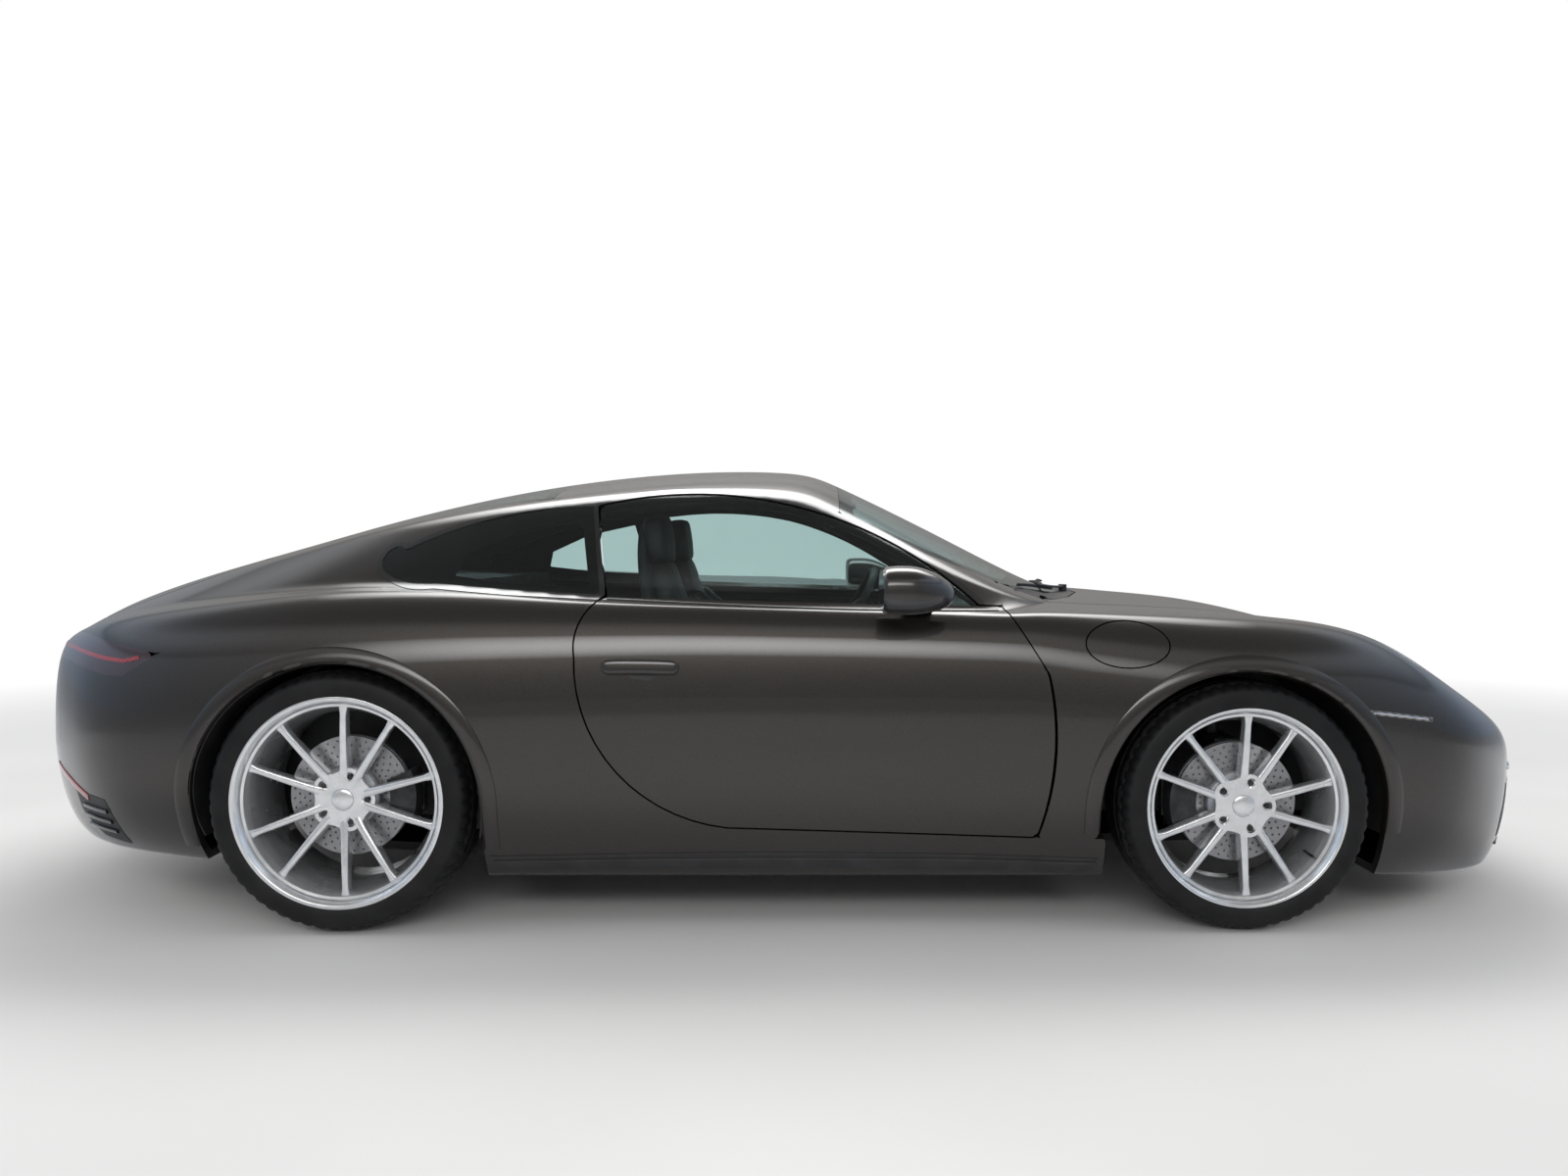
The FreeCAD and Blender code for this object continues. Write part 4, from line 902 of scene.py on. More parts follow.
class Nodes(Tree):
    """A material's node tree, with its Principled shader."""

    def __init__(self, name: str) -> None:
        """Starts a material of that name."""
        self.material = bpy.data.materials.new(name)
        self.material.use_nodes = True
        super().__init__(self.material.node_tree)
        self.shader = self.tree.nodes["Principled BSDF"]
        self.place = self.add("ShaderNodeTexCoord").outputs["Object"]

    def set(self, **values: object) -> None:
        """Sets or joins the shader's inputs: underscores stand for spaces."""
        for key, value in values.items():
            self.put(self.shader.inputs[key.replace("_", " ")], value)

    def noise(self, scale: float, detail: float = 2.0, place: bpy.types.NodeSocket | None = None,
              stretch: tuple[float, float, float] = (1, 1, 1)) -> bpy.types.NodeSocket:
        """A noise value from 0 to 1."""
        spot = self.add("ShaderNodeMapping", {"Vector": place or self.place, "Scale": stretch})
        return self.add("ShaderNodeTexNoise",
                        {"Vector": spot.outputs[0], "Scale": scale, "Detail": detail}).outputs[0]

    def ramp(self, value: object, low: tuple[float, ...], high: tuple[float, ...], start: float = 0.35,
             end: float = 0.65) -> bpy.types.NodeSocket:
        """A colour that goes from low to high as a value goes from start to end."""
        ramp = self.add("ShaderNodeValToRGB", {0: value})
        first, last = ramp.color_ramp.elements
        first.position, first.color = start, (*low, 1)
        last.position, last.color = end, (*high, 1)
        return ramp.outputs[0]

    def bump(self, height: bpy.types.NodeSocket, strength: float, distance: float) -> None:
        """Feeds a height to the shader's normal."""
        bump = self.add("ShaderNodeBump", {"Height": height, "Strength": strength, "Distance": distance})
        self.set(Normal=bump.outputs[0])

    def effect(self, group: bpy.types.NodeTree, **values: object) -> bpy.types.Node:
        """Places a shared effect with its own values."""
        node = self.add("ShaderNodeGroup", node_tree=group)
        for key, value in values.items():
            self.put(node.inputs[key], value)
        return node


def effect_group(name: str, inputs: dict[str, float | None], outputs: Sequence[str],
                 fill: Callable[[Tree, bpy.types.NodeOutputs], Sequence[bpy.types.NodeSocket]]
                 ) -> bpy.types.NodeTree:
    """A shared effect, made at its first use.

    Args:
        name: its name.
        inputs: its inputs' first values; None stands for a place.
        outputs: its outputs' names.
        fill: makes its nodes from its inputs and gives a socket for each output.

    Returns:
        The effect's tree.
    """
    if name in bpy.data.node_groups:
        return bpy.data.node_groups[name]
    group = bpy.data.node_groups.new(name, "ShaderNodeTree")
    for label, start in inputs.items():
        kind = "NodeSocketVector" if start is None else "NodeSocketFloat"
        socket = group.interface.new_socket(label, in_out="INPUT", socket_type=kind)
        if start is not None:
            socket.default_value = start
    for label in outputs:
        group.interface.new_socket(label, in_out="OUTPUT", socket_type="NodeSocketFloat")
    tree = Tree(group)
    given = tree.add("NodeGroupInput").outputs
    tree.add("NodeGroupOutput", dict(zip(outputs, fill(tree, given))))
    return group


def grain_group() -> bpy.types.NodeTree:
    """The shared grain effect: a height and a small spread of roughness, from two sizes of noise."""
    def fill(tree: Tree, given: bpy.types.NodeOutputs) -> tuple[bpy.types.NodeSocket, ...]:
        fine = tree.add("ShaderNodeTexNoise", {"Vector": given["Place"], "Scale": given["Scale"]}).outputs[0]
        broad = tree.add("ShaderNodeTexNoise", {"Vector": given["Place"], "Scale": 9.0}).outputs[0]
        base = tree.math("SUBTRACT", broad, 0.5)
        return fine, tree.math("MULTIPLY_ADD", base, given["Spread"], given["Roughness"])

    inputs = {"Place": None, "Scale": 400.0, "Roughness": 0.5, "Spread": 0.1}
    return effect_group("fine_grain", inputs, ("Height", "Roughness"), fill)


def dust_group() -> bpy.types.NodeTree:
    """The shared road dust effect: a mask that fades from the ground up to a height, broken by noise."""
    def fill(tree: Tree, given: bpy.types.NodeOutputs) -> tuple[bpy.types.NodeSocket, ...]:
        height = tree.add("ShaderNodeSeparateXYZ", {0: given["Place"]}).outputs["Z"]
        fade = tree.span(height, 0.0, given["Reach"], given["Amount"], 0.0)
        noise = tree.add("ShaderNodeTexNoise", {"Vector": given["Place"], "Scale": 22.0}).outputs[0]
        return (tree.math("MULTIPLY", fade, noise),)

    return effect_group("road_dust", {"Place": None, "Reach": 0.3, "Amount": 0.2}, ("Mask",), fill)


@dataclass(frozen=True)
class Paint:
    """Metallic paint: flakes of two shades under a clear coat, with a trace of road dust low down."""

    name: str = "body_paint"
    dark: tuple[float, float, float] = (0.020, 0.0177, 0.016)
    light: tuple[float, float, float] = (0.048, 0.0415, 0.037)
    dust: tuple[float, float, float] = (0.20, 0.19, 0.175)

    def material(self) -> bpy.types.Material:
        """The paint's material."""
        nodes = Nodes(self.name)
        flakes = nodes.ramp(nodes.noise(850.0, 3.0), self.dark, self.light)
        mask = nodes.effect(dust_group(), Place=nodes.place, Reach=0.34, Amount=0.10).outputs["Mask"]
        colour = nodes.tint("MIX", mask, flakes, (*self.dust, 1))
        grain = nodes.effect(grain_group(), Place=nodes.place, Scale=160.0, Roughness=0.34, Spread=0.05)
        nodes.set(Base_Color=colour, Metallic=0.75, Roughness=grain.outputs["Roughness"],
                  Coat_Weight=1.0, Coat_Roughness=0.025)
        nodes.bump(grain.outputs["Height"], 0.012, 0.0004)
        return nodes.material


@dataclass(frozen=True)
class Plastic:
    """Moulded plastic or rubber with a fine grain and road dust."""

    name: str
    dark: tuple[float, float, float]
    light: tuple[float, float, float]
    rough: float = 0.5
    scale: float = 900.0
    strength: float = 0.15
    coat: float = 0.0
    dust: float = 0.12
    shine: float = 0.5

    def material(self) -> bpy.types.Material:
        """The plastic's material."""
        nodes = Nodes(self.name)
        shade = nodes.ramp(nodes.noise(14.0, 4.0), self.dark, self.light)
        mask = nodes.effect(dust_group(), Place=nodes.place, Reach=0.4, Amount=self.dust).outputs["Mask"]
        colour = nodes.tint("MIX", mask, shade, (0.16, 0.15, 0.14, 1))
        grain = nodes.effect(grain_group(), Place=nodes.place, Scale=self.scale, Roughness=self.rough,
                             Spread=0.14)
        nodes.set(Base_Color=colour, Roughness=grain.outputs["Roughness"], Coat_Weight=self.coat,
                  Coat_Roughness=0.04, Specular_IOR_Level=self.shine)
        nodes.bump(grain.outputs["Height"], self.strength, 0.0003)
        return nodes.material


@dataclass(frozen=True)
class Metal:
    """Bare, cast or lacquered metal with a fine grain."""

    name: str
    dark: tuple[float, float, float]
    light: tuple[float, float, float]
    rough: float = 0.3
    metallic: float = 0.9
    scale: float = 700.0
    strength: float = 0.05
    coat: float = 0.0
    stretch: tuple[float, float, float] = (1, 1, 1)

    def material(self) -> bpy.types.Material:
        """The metal's material."""
        nodes = Nodes(self.name)
        shade = nodes.ramp(nodes.noise(30.0, 5.0, stretch=self.stretch), self.dark, self.light)
        grain = nodes.effect(grain_group(), Place=nodes.place, Scale=self.scale, Roughness=self.rough,
                             Spread=0.12)
        nodes.set(Base_Color=shade, Metallic=self.metallic, Roughness=grain.outputs["Roughness"],
                  Coat_Weight=self.coat, Coat_Roughness=0.05)
        nodes.bump(grain.outputs["Height"], self.strength, 0.0003)
        return nodes.material


@dataclass(frozen=True)
class TurnedIron:
    """A brake disc's iron: fine rings round the axle, from the distance to it."""

    name: str
    axle: float
    height: float

    def material(self) -> bpy.types.Material:
        """The iron's material."""
        nodes = Nodes(self.name)
        spot = nodes.add("ShaderNodeMapping", {"Vector": nodes.place,
                                               "Location": (-self.axle, 0, -self.height), "Scale": (1, 0, 1)})
        rings = nodes.add("ShaderNodeTexWave", {"Vector": spot.outputs[0], "Scale": 90.0, "Distortion": 0.6},
                          wave_type="RINGS", rings_direction="SPHERICAL")
        shade = nodes.ramp(rings.outputs["Fac"], (0.26, 0.26, 0.27), (0.42, 0.42, 0.43), 0.2, 0.8)
        grain = nodes.effect(grain_group(), Place=nodes.place, Scale=500.0, Roughness=0.36, Spread=0.2)
        nodes.set(Base_Color=shade, Metallic=0.9, Roughness=grain.outputs["Roughness"])
        nodes.bump(rings.outputs["Fac"], 0.15, 0.0003)
        return nodes.material


@dataclass(frozen=True)
class Glass:
    """Glass or a clear lens, with a faint tint that drifts over the pane."""

    name: str
    dark: tuple[float, float, float]
    light: tuple[float, float, float]
    rough: float = 0.0
    index: float = 1.45

    def material(self) -> bpy.types.Material:
        """The glass's material."""
        nodes = Nodes(self.name)
        tint = nodes.ramp(nodes.noise(1.5, 1.0), self.dark, self.light, 0.2, 0.8)
        film = nodes.span(nodes.noise(35.0, 4.0), 0.3, 0.8, self.rough, self.rough + 0.02)
        nodes.set(Base_Color=tint, Roughness=film, Transmission_Weight=1.0, IOR=self.index)
        return nodes.material


@dataclass(frozen=True)
class Lens:
    """A coloured lamp lens over fine upright ribs."""

    name: str
    dark: tuple[float, float, float]
    light: tuple[float, float, float]
    ribs: float = 70.0

    def material(self) -> bpy.types.Material:
        """The lens's material."""
        nodes = Nodes(self.name)
        ribs = nodes.add("ShaderNodeTexWave", {"Vector": nodes.place, "Scale": self.ribs, "Distortion": 0.0},
                         bands_direction="Y")
        shade = nodes.ramp(ribs.outputs["Fac"], self.dark, self.light, 0.2, 0.8)
        film = nodes.span(nodes.noise(30.0, 3.0), 0.3, 0.7, 0.10, 0.16)
        nodes.set(Base_Color=shade, Roughness=film, Coat_Weight=1.0, Coat_Roughness=0.02)
        nodes.bump(ribs.outputs["Fac"], 0.05, 0.0004)
        return nodes.material


@dataclass(frozen=True)
class Leather:
    """Leather: small cells for its grain, and a shade that drifts with use."""

    name: str = "seat_leather"
    dark: tuple[float, float, float] = (0.014, 0.014, 0.015)
    light: tuple[float, float, float] = (0.030, 0.029, 0.029)

    def material(self) -> bpy.types.Material:
        """The leather's material."""
        nodes = Nodes(self.name)
        shade = nodes.ramp(nodes.noise(10.0, 4.0), self.dark, self.light)
        cells = nodes.add("ShaderNodeTexVoronoi", {"Vector": nodes.place, "Scale": 420.0},
                          feature="DISTANCE_TO_EDGE")
        grain = nodes.effect(grain_group(), Place=nodes.place, Scale=300.0, Roughness=0.5, Spread=0.15)
        nodes.set(Base_Color=shade, Roughness=grain.outputs["Roughness"])
        nodes.bump(cells.outputs["Distance"], 0.3, 0.0006)
        return nodes.material


@dataclass(frozen=True)
class Carpet:
    """Short pile carpet, from noise at the size of its tufts."""

    name: str = "cabin_carpet"

    def material(self) -> bpy.types.Material:
        """The carpet's material."""
        nodes = Nodes(self.name)
        tufts = nodes.noise(600.0, 2.0)
        nodes.set(Base_Color=nodes.ramp(tufts, (0.010, 0.010, 0.011), (0.035, 0.034, 0.034)), Roughness=0.95,
                  Sheen_Weight=0.3)
        nodes.bump(tufts, 0.8, 0.002)
        return nodes.material


class Finishes:
    """Every finish of the car, each made once."""

    def __init__(self) -> None:
        """Makes the materials."""
        self.paint = Paint().material()
        self.trim = Plastic("black_trim", (0.014, 0.014, 0.015), (0.024, 0.024, 0.026)).material()
        self.gloss = Plastic("gloss_black", (0.008, 0.008, 0.009), (0.012, 0.012, 0.013), 0.18, 300.0, 0.01,
                             1.0, 0.0).material()
        self.printed = Plastic("printed_black", (0.003, 0.003, 0.0035), (0.006, 0.006, 0.0065), 0.6, 300.0,
                               0.0, dust=0.0, shine=0.1).material()
        self.plate = Plastic("blank_plate", (0.50, 0.50, 0.49), (0.58, 0.58, 0.57), 0.35, 200.0, 0.02,
                             dust=0.05).material()
        self.rubber = Plastic("seal_rubber", (0.010, 0.010, 0.011), (0.018, 0.018, 0.019), 0.7, 500.0, 0.1,
                              dust=0.0).material()
        self.tyre = Plastic("tyre_rubber", (0.004, 0.004, 0.0043), (0.009, 0.009, 0.0095), 0.55, 450.0, 0.25,
                            dust=0.06, shine=0.28).material()
        self.glass = Glass("window_glass", (0.60, 0.73, 0.72), (0.66, 0.78, 0.77)).material()
        self.lens = Glass("clear_lens", (0.93, 0.95, 0.96), (0.97, 0.98, 0.98)).material()
        self.red = Lens("red_lens", (0.16, 0.004, 0.006), (0.30, 0.010, 0.012)).material()
        self.smoked = Lens("dark_red_lens", (0.012, 0.004, 0.004), (0.034, 0.008, 0.009)).material()
        self.amber = Lens("smoked_lens", (0.05, 0.045, 0.04), (0.16, 0.14, 0.13)).material()
        self.rim = Metal("rim_silver", (0.74, 0.75, 0.76), (0.84, 0.85, 0.86), 0.26, 0.80,
                         coat=0.6).material()
        self.chrome = Metal("bright_metal", (0.80, 0.80, 0.81), (0.90, 0.90, 0.91), 0.10, 1.0).material()
        self.bowl = Metal("lamp_bowl", (0.55, 0.56, 0.58), (0.80, 0.81, 0.83), 0.18, 1.0).material()
        self.gear = Metal("running_gear", (0.022, 0.022, 0.024), (0.050, 0.050, 0.052), 0.45, 0.4, 300.0,
                          0.2).material()
        self.cast = Metal("cast_alloy", (0.25, 0.25, 0.26), (0.42, 0.42, 0.43), 0.48, 0.8, 250.0,
                          0.3).material()
        self.steel = Metal("brushed_steel", (0.45, 0.45, 0.46), (0.62, 0.62, 0.63), 0.25, 1.0, 900.0, 0.1,
                           stretch=(0.1, 1, 1)).material()
        self.leather = Leather().material()
        self.cabin = Plastic("cabin_trim", (0.014, 0.014, 0.015), (0.026, 0.026, 0.027), 0.6, 700.0, 0.3,
                             dust=0.0).material()
        self.lining = Plastic("head_lining", (0.10, 0.10, 0.102), (0.14, 0.14, 0.142), 0.9, 900.0, 0.4,
                              dust=0.0).material()
        self.carpet = Carpet().material()
        self.iron_front = TurnedIron("disc_iron_front", FRONT_AXLE, 0.340).material()
        self.iron_rear = TurnedIron("disc_iron_rear", REAR_AXLE, 0.358).material()


# Painted panels and glass


@dataclass
class PanelWork:
    """Cuts the painted panels and the glass out of the body's surface."""

    skin: Skin
    finish: Finishes
    sheet: float = 0.022
    frame_wall: tuple[float, float] = (0.007, 0.030)
    thin: float = 0.005
    lid_wall: float = 0.010
    door_wall: float = 0.028
    seal: float = 0.001
    slots_x: float = -1.815
    slots_y: tuple[float, ...] = (0.022, 0.066, 0.110, 0.154)
    glass_wall: float = 0.005
    spacing: float = 0.024

    def __post_init__(self) -> None:
        """Takes the sheets that panels are cut from: long rows for panels, short ones for small pieces."""
        broad = Skin(self.spacing)
        self.sheets = {(True, False): broad.half(), (True, True): broad.whole(),
                       (False, False): self.skin.half(), (False, True): self.skin.whole()}

    def cut(self, inside: Callable[[Array], Array], wall: float | Callable[[Array], Array],
            middle: bool = False, lift: float = 0.0, broad: bool = True) -> Form:
        """A panel where a value at points of the surface is above zero.

        Args:
            inside: the value.
            wall: the panel's thickness, or a function of its points that gives it.
            middle: it spans the centreline.
            lift: how far it stands proud.
            broad: it is cut from the sheet with long rows.

        Returns:
            The panel as a closed form.
        """
        sheet, normals = self.sheets[broad, middle]
        form, normals = trimmed(sheet, normals, inside(sheet.points))
        return walled(form, normals, wall(form.points)[:, None] if callable(wall) else wall, lift)

    def frame_depth(self, p: Array) -> Array:
        """The side frame's wall: thin beside the engine lid, which turns into it, deep round the door."""
        return np.interp(p[:, 0], (-1.50, -1.30), self.frame_wall)

    @staticmethod
    def fixed_side(p: Array) -> Array:
        """The side frame: the side without its openings, the middle panels, the arch and the floor."""
        openings = (DOOR_FACE.side(p) + GAP, PANE_FACE.side(p) + GAP, QUARTER_FACE.side(p), arch(p, True))
        tops = [plan.over(p) for plan in (SCREEN_PLAN, COWL_PLAN, ROOF_PLAN, REAR_GLASS_PLAN)]
        rest = (*openings, *tops, ENGINE_LID_PLAN.over(p, GAP), underside(p))
        return least(SIDE_FACE.side(p), *(-value for value in rest))

    @staticmethod
    def fender(p: Array, flap: bool) -> Array:
        """A front fender, the right one with the fuel flap's opening."""
        cuts = [arch(p, False), LID_PLAN.top(p) + GAP, lamp_oval(p, 0.003), COWL_PLAN.top(p) + 0.002,
                SCREEN_PLAN.over(p), underside(p)]
        if flap:
            cuts.append(flap_oval(p, GAP * 0.7))
        return least(FENDER_FACE.side(p), *(-value for value in cuts))

    @staticmethod
    def door(p: Array) -> Array:
        """A door, drawn in at its front edge, which turns in beside the fender."""
        return DOOR_FACE.side(p) + 0.0008 - 0.004 * np.clip((p[:, 0] - 0.70) / 0.03, 0, 1)

    @staticmethod
    def nose(p: Array) -> Array:
        """The front bumper cover."""
        q = p * (1, 0, 1) + np.abs(p) * (0, 1, 0)
        return least(FRONT_BUMPER_FACE.side(p), -arch(p, False), -lamp_oval(q, 0.003), -LID_PLAN.over(p, GAP))

    @staticmethod
    def tail(p: Array) -> Array:
        """The rear bumper cover."""
        return least(REAR_BUMPER_FACE.side(p), -arch(p, True))

    @staticmethod
    def off_hinge(p: Array) -> Array:
        """How far points lie outside the front lid's hinge corners, which turn there."""
        hinge_x, hinge_z, clear = 0.768, 0.879, 0.022
        middle_y, half_y = 0.5425, 0.0425
        away = np.hypot(p[:, 0] - hinge_x, p[:, 2] - hinge_z) - clear
        return np.where(np.abs(np.abs(p[:, 1]) - middle_y) < half_y, away, 1.0)

    def off_slots(self, p: Array) -> Array:
        """How far points lie outside the engine lid's eight air slots."""
        half_long, half_wide = 0.090, 0.013
        ends = np.abs(p[:, 0] - self.slots_x) - half_long
        return least(*(np.maximum(ends, np.abs(np.abs(p[:, 1]) - y) - half_wide) for y in self.slots_y))

    def build(self) -> None:
        """Makes the panels, windows and lamp covers."""
        paint, glass = self.finish.paint, self.finish.glass
        side_frame = self.cut(self.fixed_side, self.frame_depth)
        door = self.cut(self.door, self.door_wall)
        pane = self.cut(lambda p: PANE_FACE.side(p), self.glass_wall)
        quarter = self.cut(lambda p: least(QUARTER_FACE.side(p), p[:, 1] - 0.3), self.glass_wall)
        lamp = self.cut(lambda p: least(lamp_oval(p), -LID_PLAN.top(p) - GAP), 0.004, broad=False)
        for side in Side:
            word = side.word
            side_frame.on(side).thing(f"side_frame_{word}_skin", paint, "body", Slot.PAINT,
                                      [f"side_frame_{word}"])
            fender = self.cut(lambda p, flap=side is Side.RIGHT: self.fender(p, flap), self.thin)
            fender.on(side).thing(f"front_fender_{word}_skin", paint, "body", Slot.PAINT,
                                  [f"front_fender_{word}"])
            door.on(side).thing(f"door_{word}_skin", paint, f"door_{word}", Slot.PAINT, [f"door_{word}"])
            pane.on(side).thing(f"door_pane_{word}", glass, f"door_{word}", Slot.GLASS,
                                [f"door_glass_{word}"])
            quarter.on(side).thing(f"quarter_pane_{word}", glass, "body", Slot.GLASS,
                                   [f"quarter_glass_{word}"])
            lamp.on(side).thing(f"headlamp_cover_{word}", self.finish.lens, "body", Slot.LAMP_CLEAR,
                                [f"headlamp_{word}"])
        flap = self.cut(lambda p: flap_oval(p), 0.004, broad=False)
        flap.on(Side.RIGHT).thing("fuel_flap_skin", paint, "fuel_flap", Slot.PAINT, ["fuel_flap"])
        middle = (
            ("roof_skin", "body", "roof_panel", self.sheet, ROOF_PLAN.upper),
            ("cowl_skin", "body", "cowl_panel", self.thin, lambda p: least(
                COWL_PLAN.upper(p), -LID_PLAN.top(p) - GAP, self.off_hinge(p))),
            ("front_lid_skin", "front_lid", "front_lid", self.lid_wall, LID_PLAN.upper),
            ("engine_lid_skin", "engine_lid", "engine_lid", self.lid_wall,
             lambda p: least(ENGINE_LID_PLAN.upper(p), self.off_slots(p))),
            ("front_bumper_skin", "body", "front_bumper", self.sheet, self.nose),
            ("rear_bumper_skin", "body", "rear_bumper", self.sheet, self.tail),
        )
        for name, body, node, wall, inside in middle:
            dress = self.finish.trim if node == "cowl_panel" else paint
            self.cut(inside, wall, True).thing(name, dress, body, Slot.PAINT, [node])
        panes = (("windscreen_pane", "windscreen", SCREEN_PLAN),
                 ("rear_pane", "rear_window", REAR_GLASS_PLAN))
        for name, node, plan in panes:
            pane = self.cut(lambda p, plan=plan: plan.upper(p, -self.seal), self.glass_wall, True)
            pane.thing(name, glass, "body", Slot.GLASS, [node])
        tray = self.cut(lambda p: least(0.102 - np.abs(p[:, 0] - self.slots_x), 0.180 - np.abs(p[:, 1]),
                                        p[:, 2] - 0.8), 0.003, True, -self.lid_wall - 0.0005)
        tray.thing("engine_lid_tray", self.finish.trim, "engine_lid", Slot.TRIM)
        brake = strip(*self.skin.crest([(-1672, y) for y in (-170, -60, 60, 170)], 6), 0.009, 0.002)
        brake.thing("high_brake_lamp", self.finish.red, "engine_lid", Slot.LAMP_RED)
        bar = self.cut(lambda p: least(LAMP_FACE.side(p), -ENGINE_LID_PLAN.top(p) - GAP), 0.024, True,
                       broad=False)
        bar.thing("tail_lamp_lens", self.finish.smoked, "body", Slot.LAMP_RED, ["tail_lamp_bar"])


# Wheels


def lofted(path: Array, side: Array, widths: Array, depths: Array, power: float = 4.0,
           steps: int = 20) -> Form:
    """A bar of changing section along a path: path + w/2 * c * side + d/2 * s * y for each section angle.

    Args:
        path: the path's points.
        side: the direction of its width.
        widths: its width at each point.
        depths: its depth along Y at each point.
        power: how square its section is.
        steps: points round the section.

    Returns:
        The closed form.
    """
    ring = soft_box(2.0, 2.0, steps, power) / 2
    grid = (path[:, None] + ring[None, :, :1] * widths[:, None, None] * side
            + ring[None, :, 1:] * depths[:, None, None] * np.array([0.0, 1.0, 0.0]))
    return woven(capped(grid), False, True).outward()


def polar_sheet(inner: float, outer: float, across: float, rows: int, steps: int,
                keep: Callable[[Array, Array], Array], wall: float) -> Form:
    """A flat ring sheet with holes: (r cos a, across, r sin a), kept where keep(r, a) is above zero."""
    radius = np.linspace(inner, outer, rows + 1)[:, None]
    angle = np.linspace(0, 2 * np.pi, steps + 1)[None, :]
    grid = np.stack([radius * np.cos(angle), across + 0 * radius * angle, radius * np.sin(angle)], -1)
    sheet = Form(grid.reshape(-1, 3), cells(rows + 1, steps + 1)[:, ::-1])
    normals = np.broadcast_to((0.0, 1.0, 0.0), sheet.points.shape).copy()
    value = keep(radius + 0 * angle, angle + 0 * radius).ravel()
    return walled(*trimmed(sheet, normals, value), wall)


@dataclass(frozen=True)
class WheelSize:
    """One axle's wheel sizes, in metres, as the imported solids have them."""

    name: str
    axle: float
    plane: float
    tyre: float
    tyre_half: float
    rim: float
    rim_half: float
    face: float


WHEELS = (
    WheelSize("front", FRONT_AXLE, 0.770, 0.340, 0.121, 0.276, 0.127, 0.052),
    WheelSize("rear", REAR_AXLE, 0.760, 0.358, 0.153, 0.288, 0.161, 0.067),
)


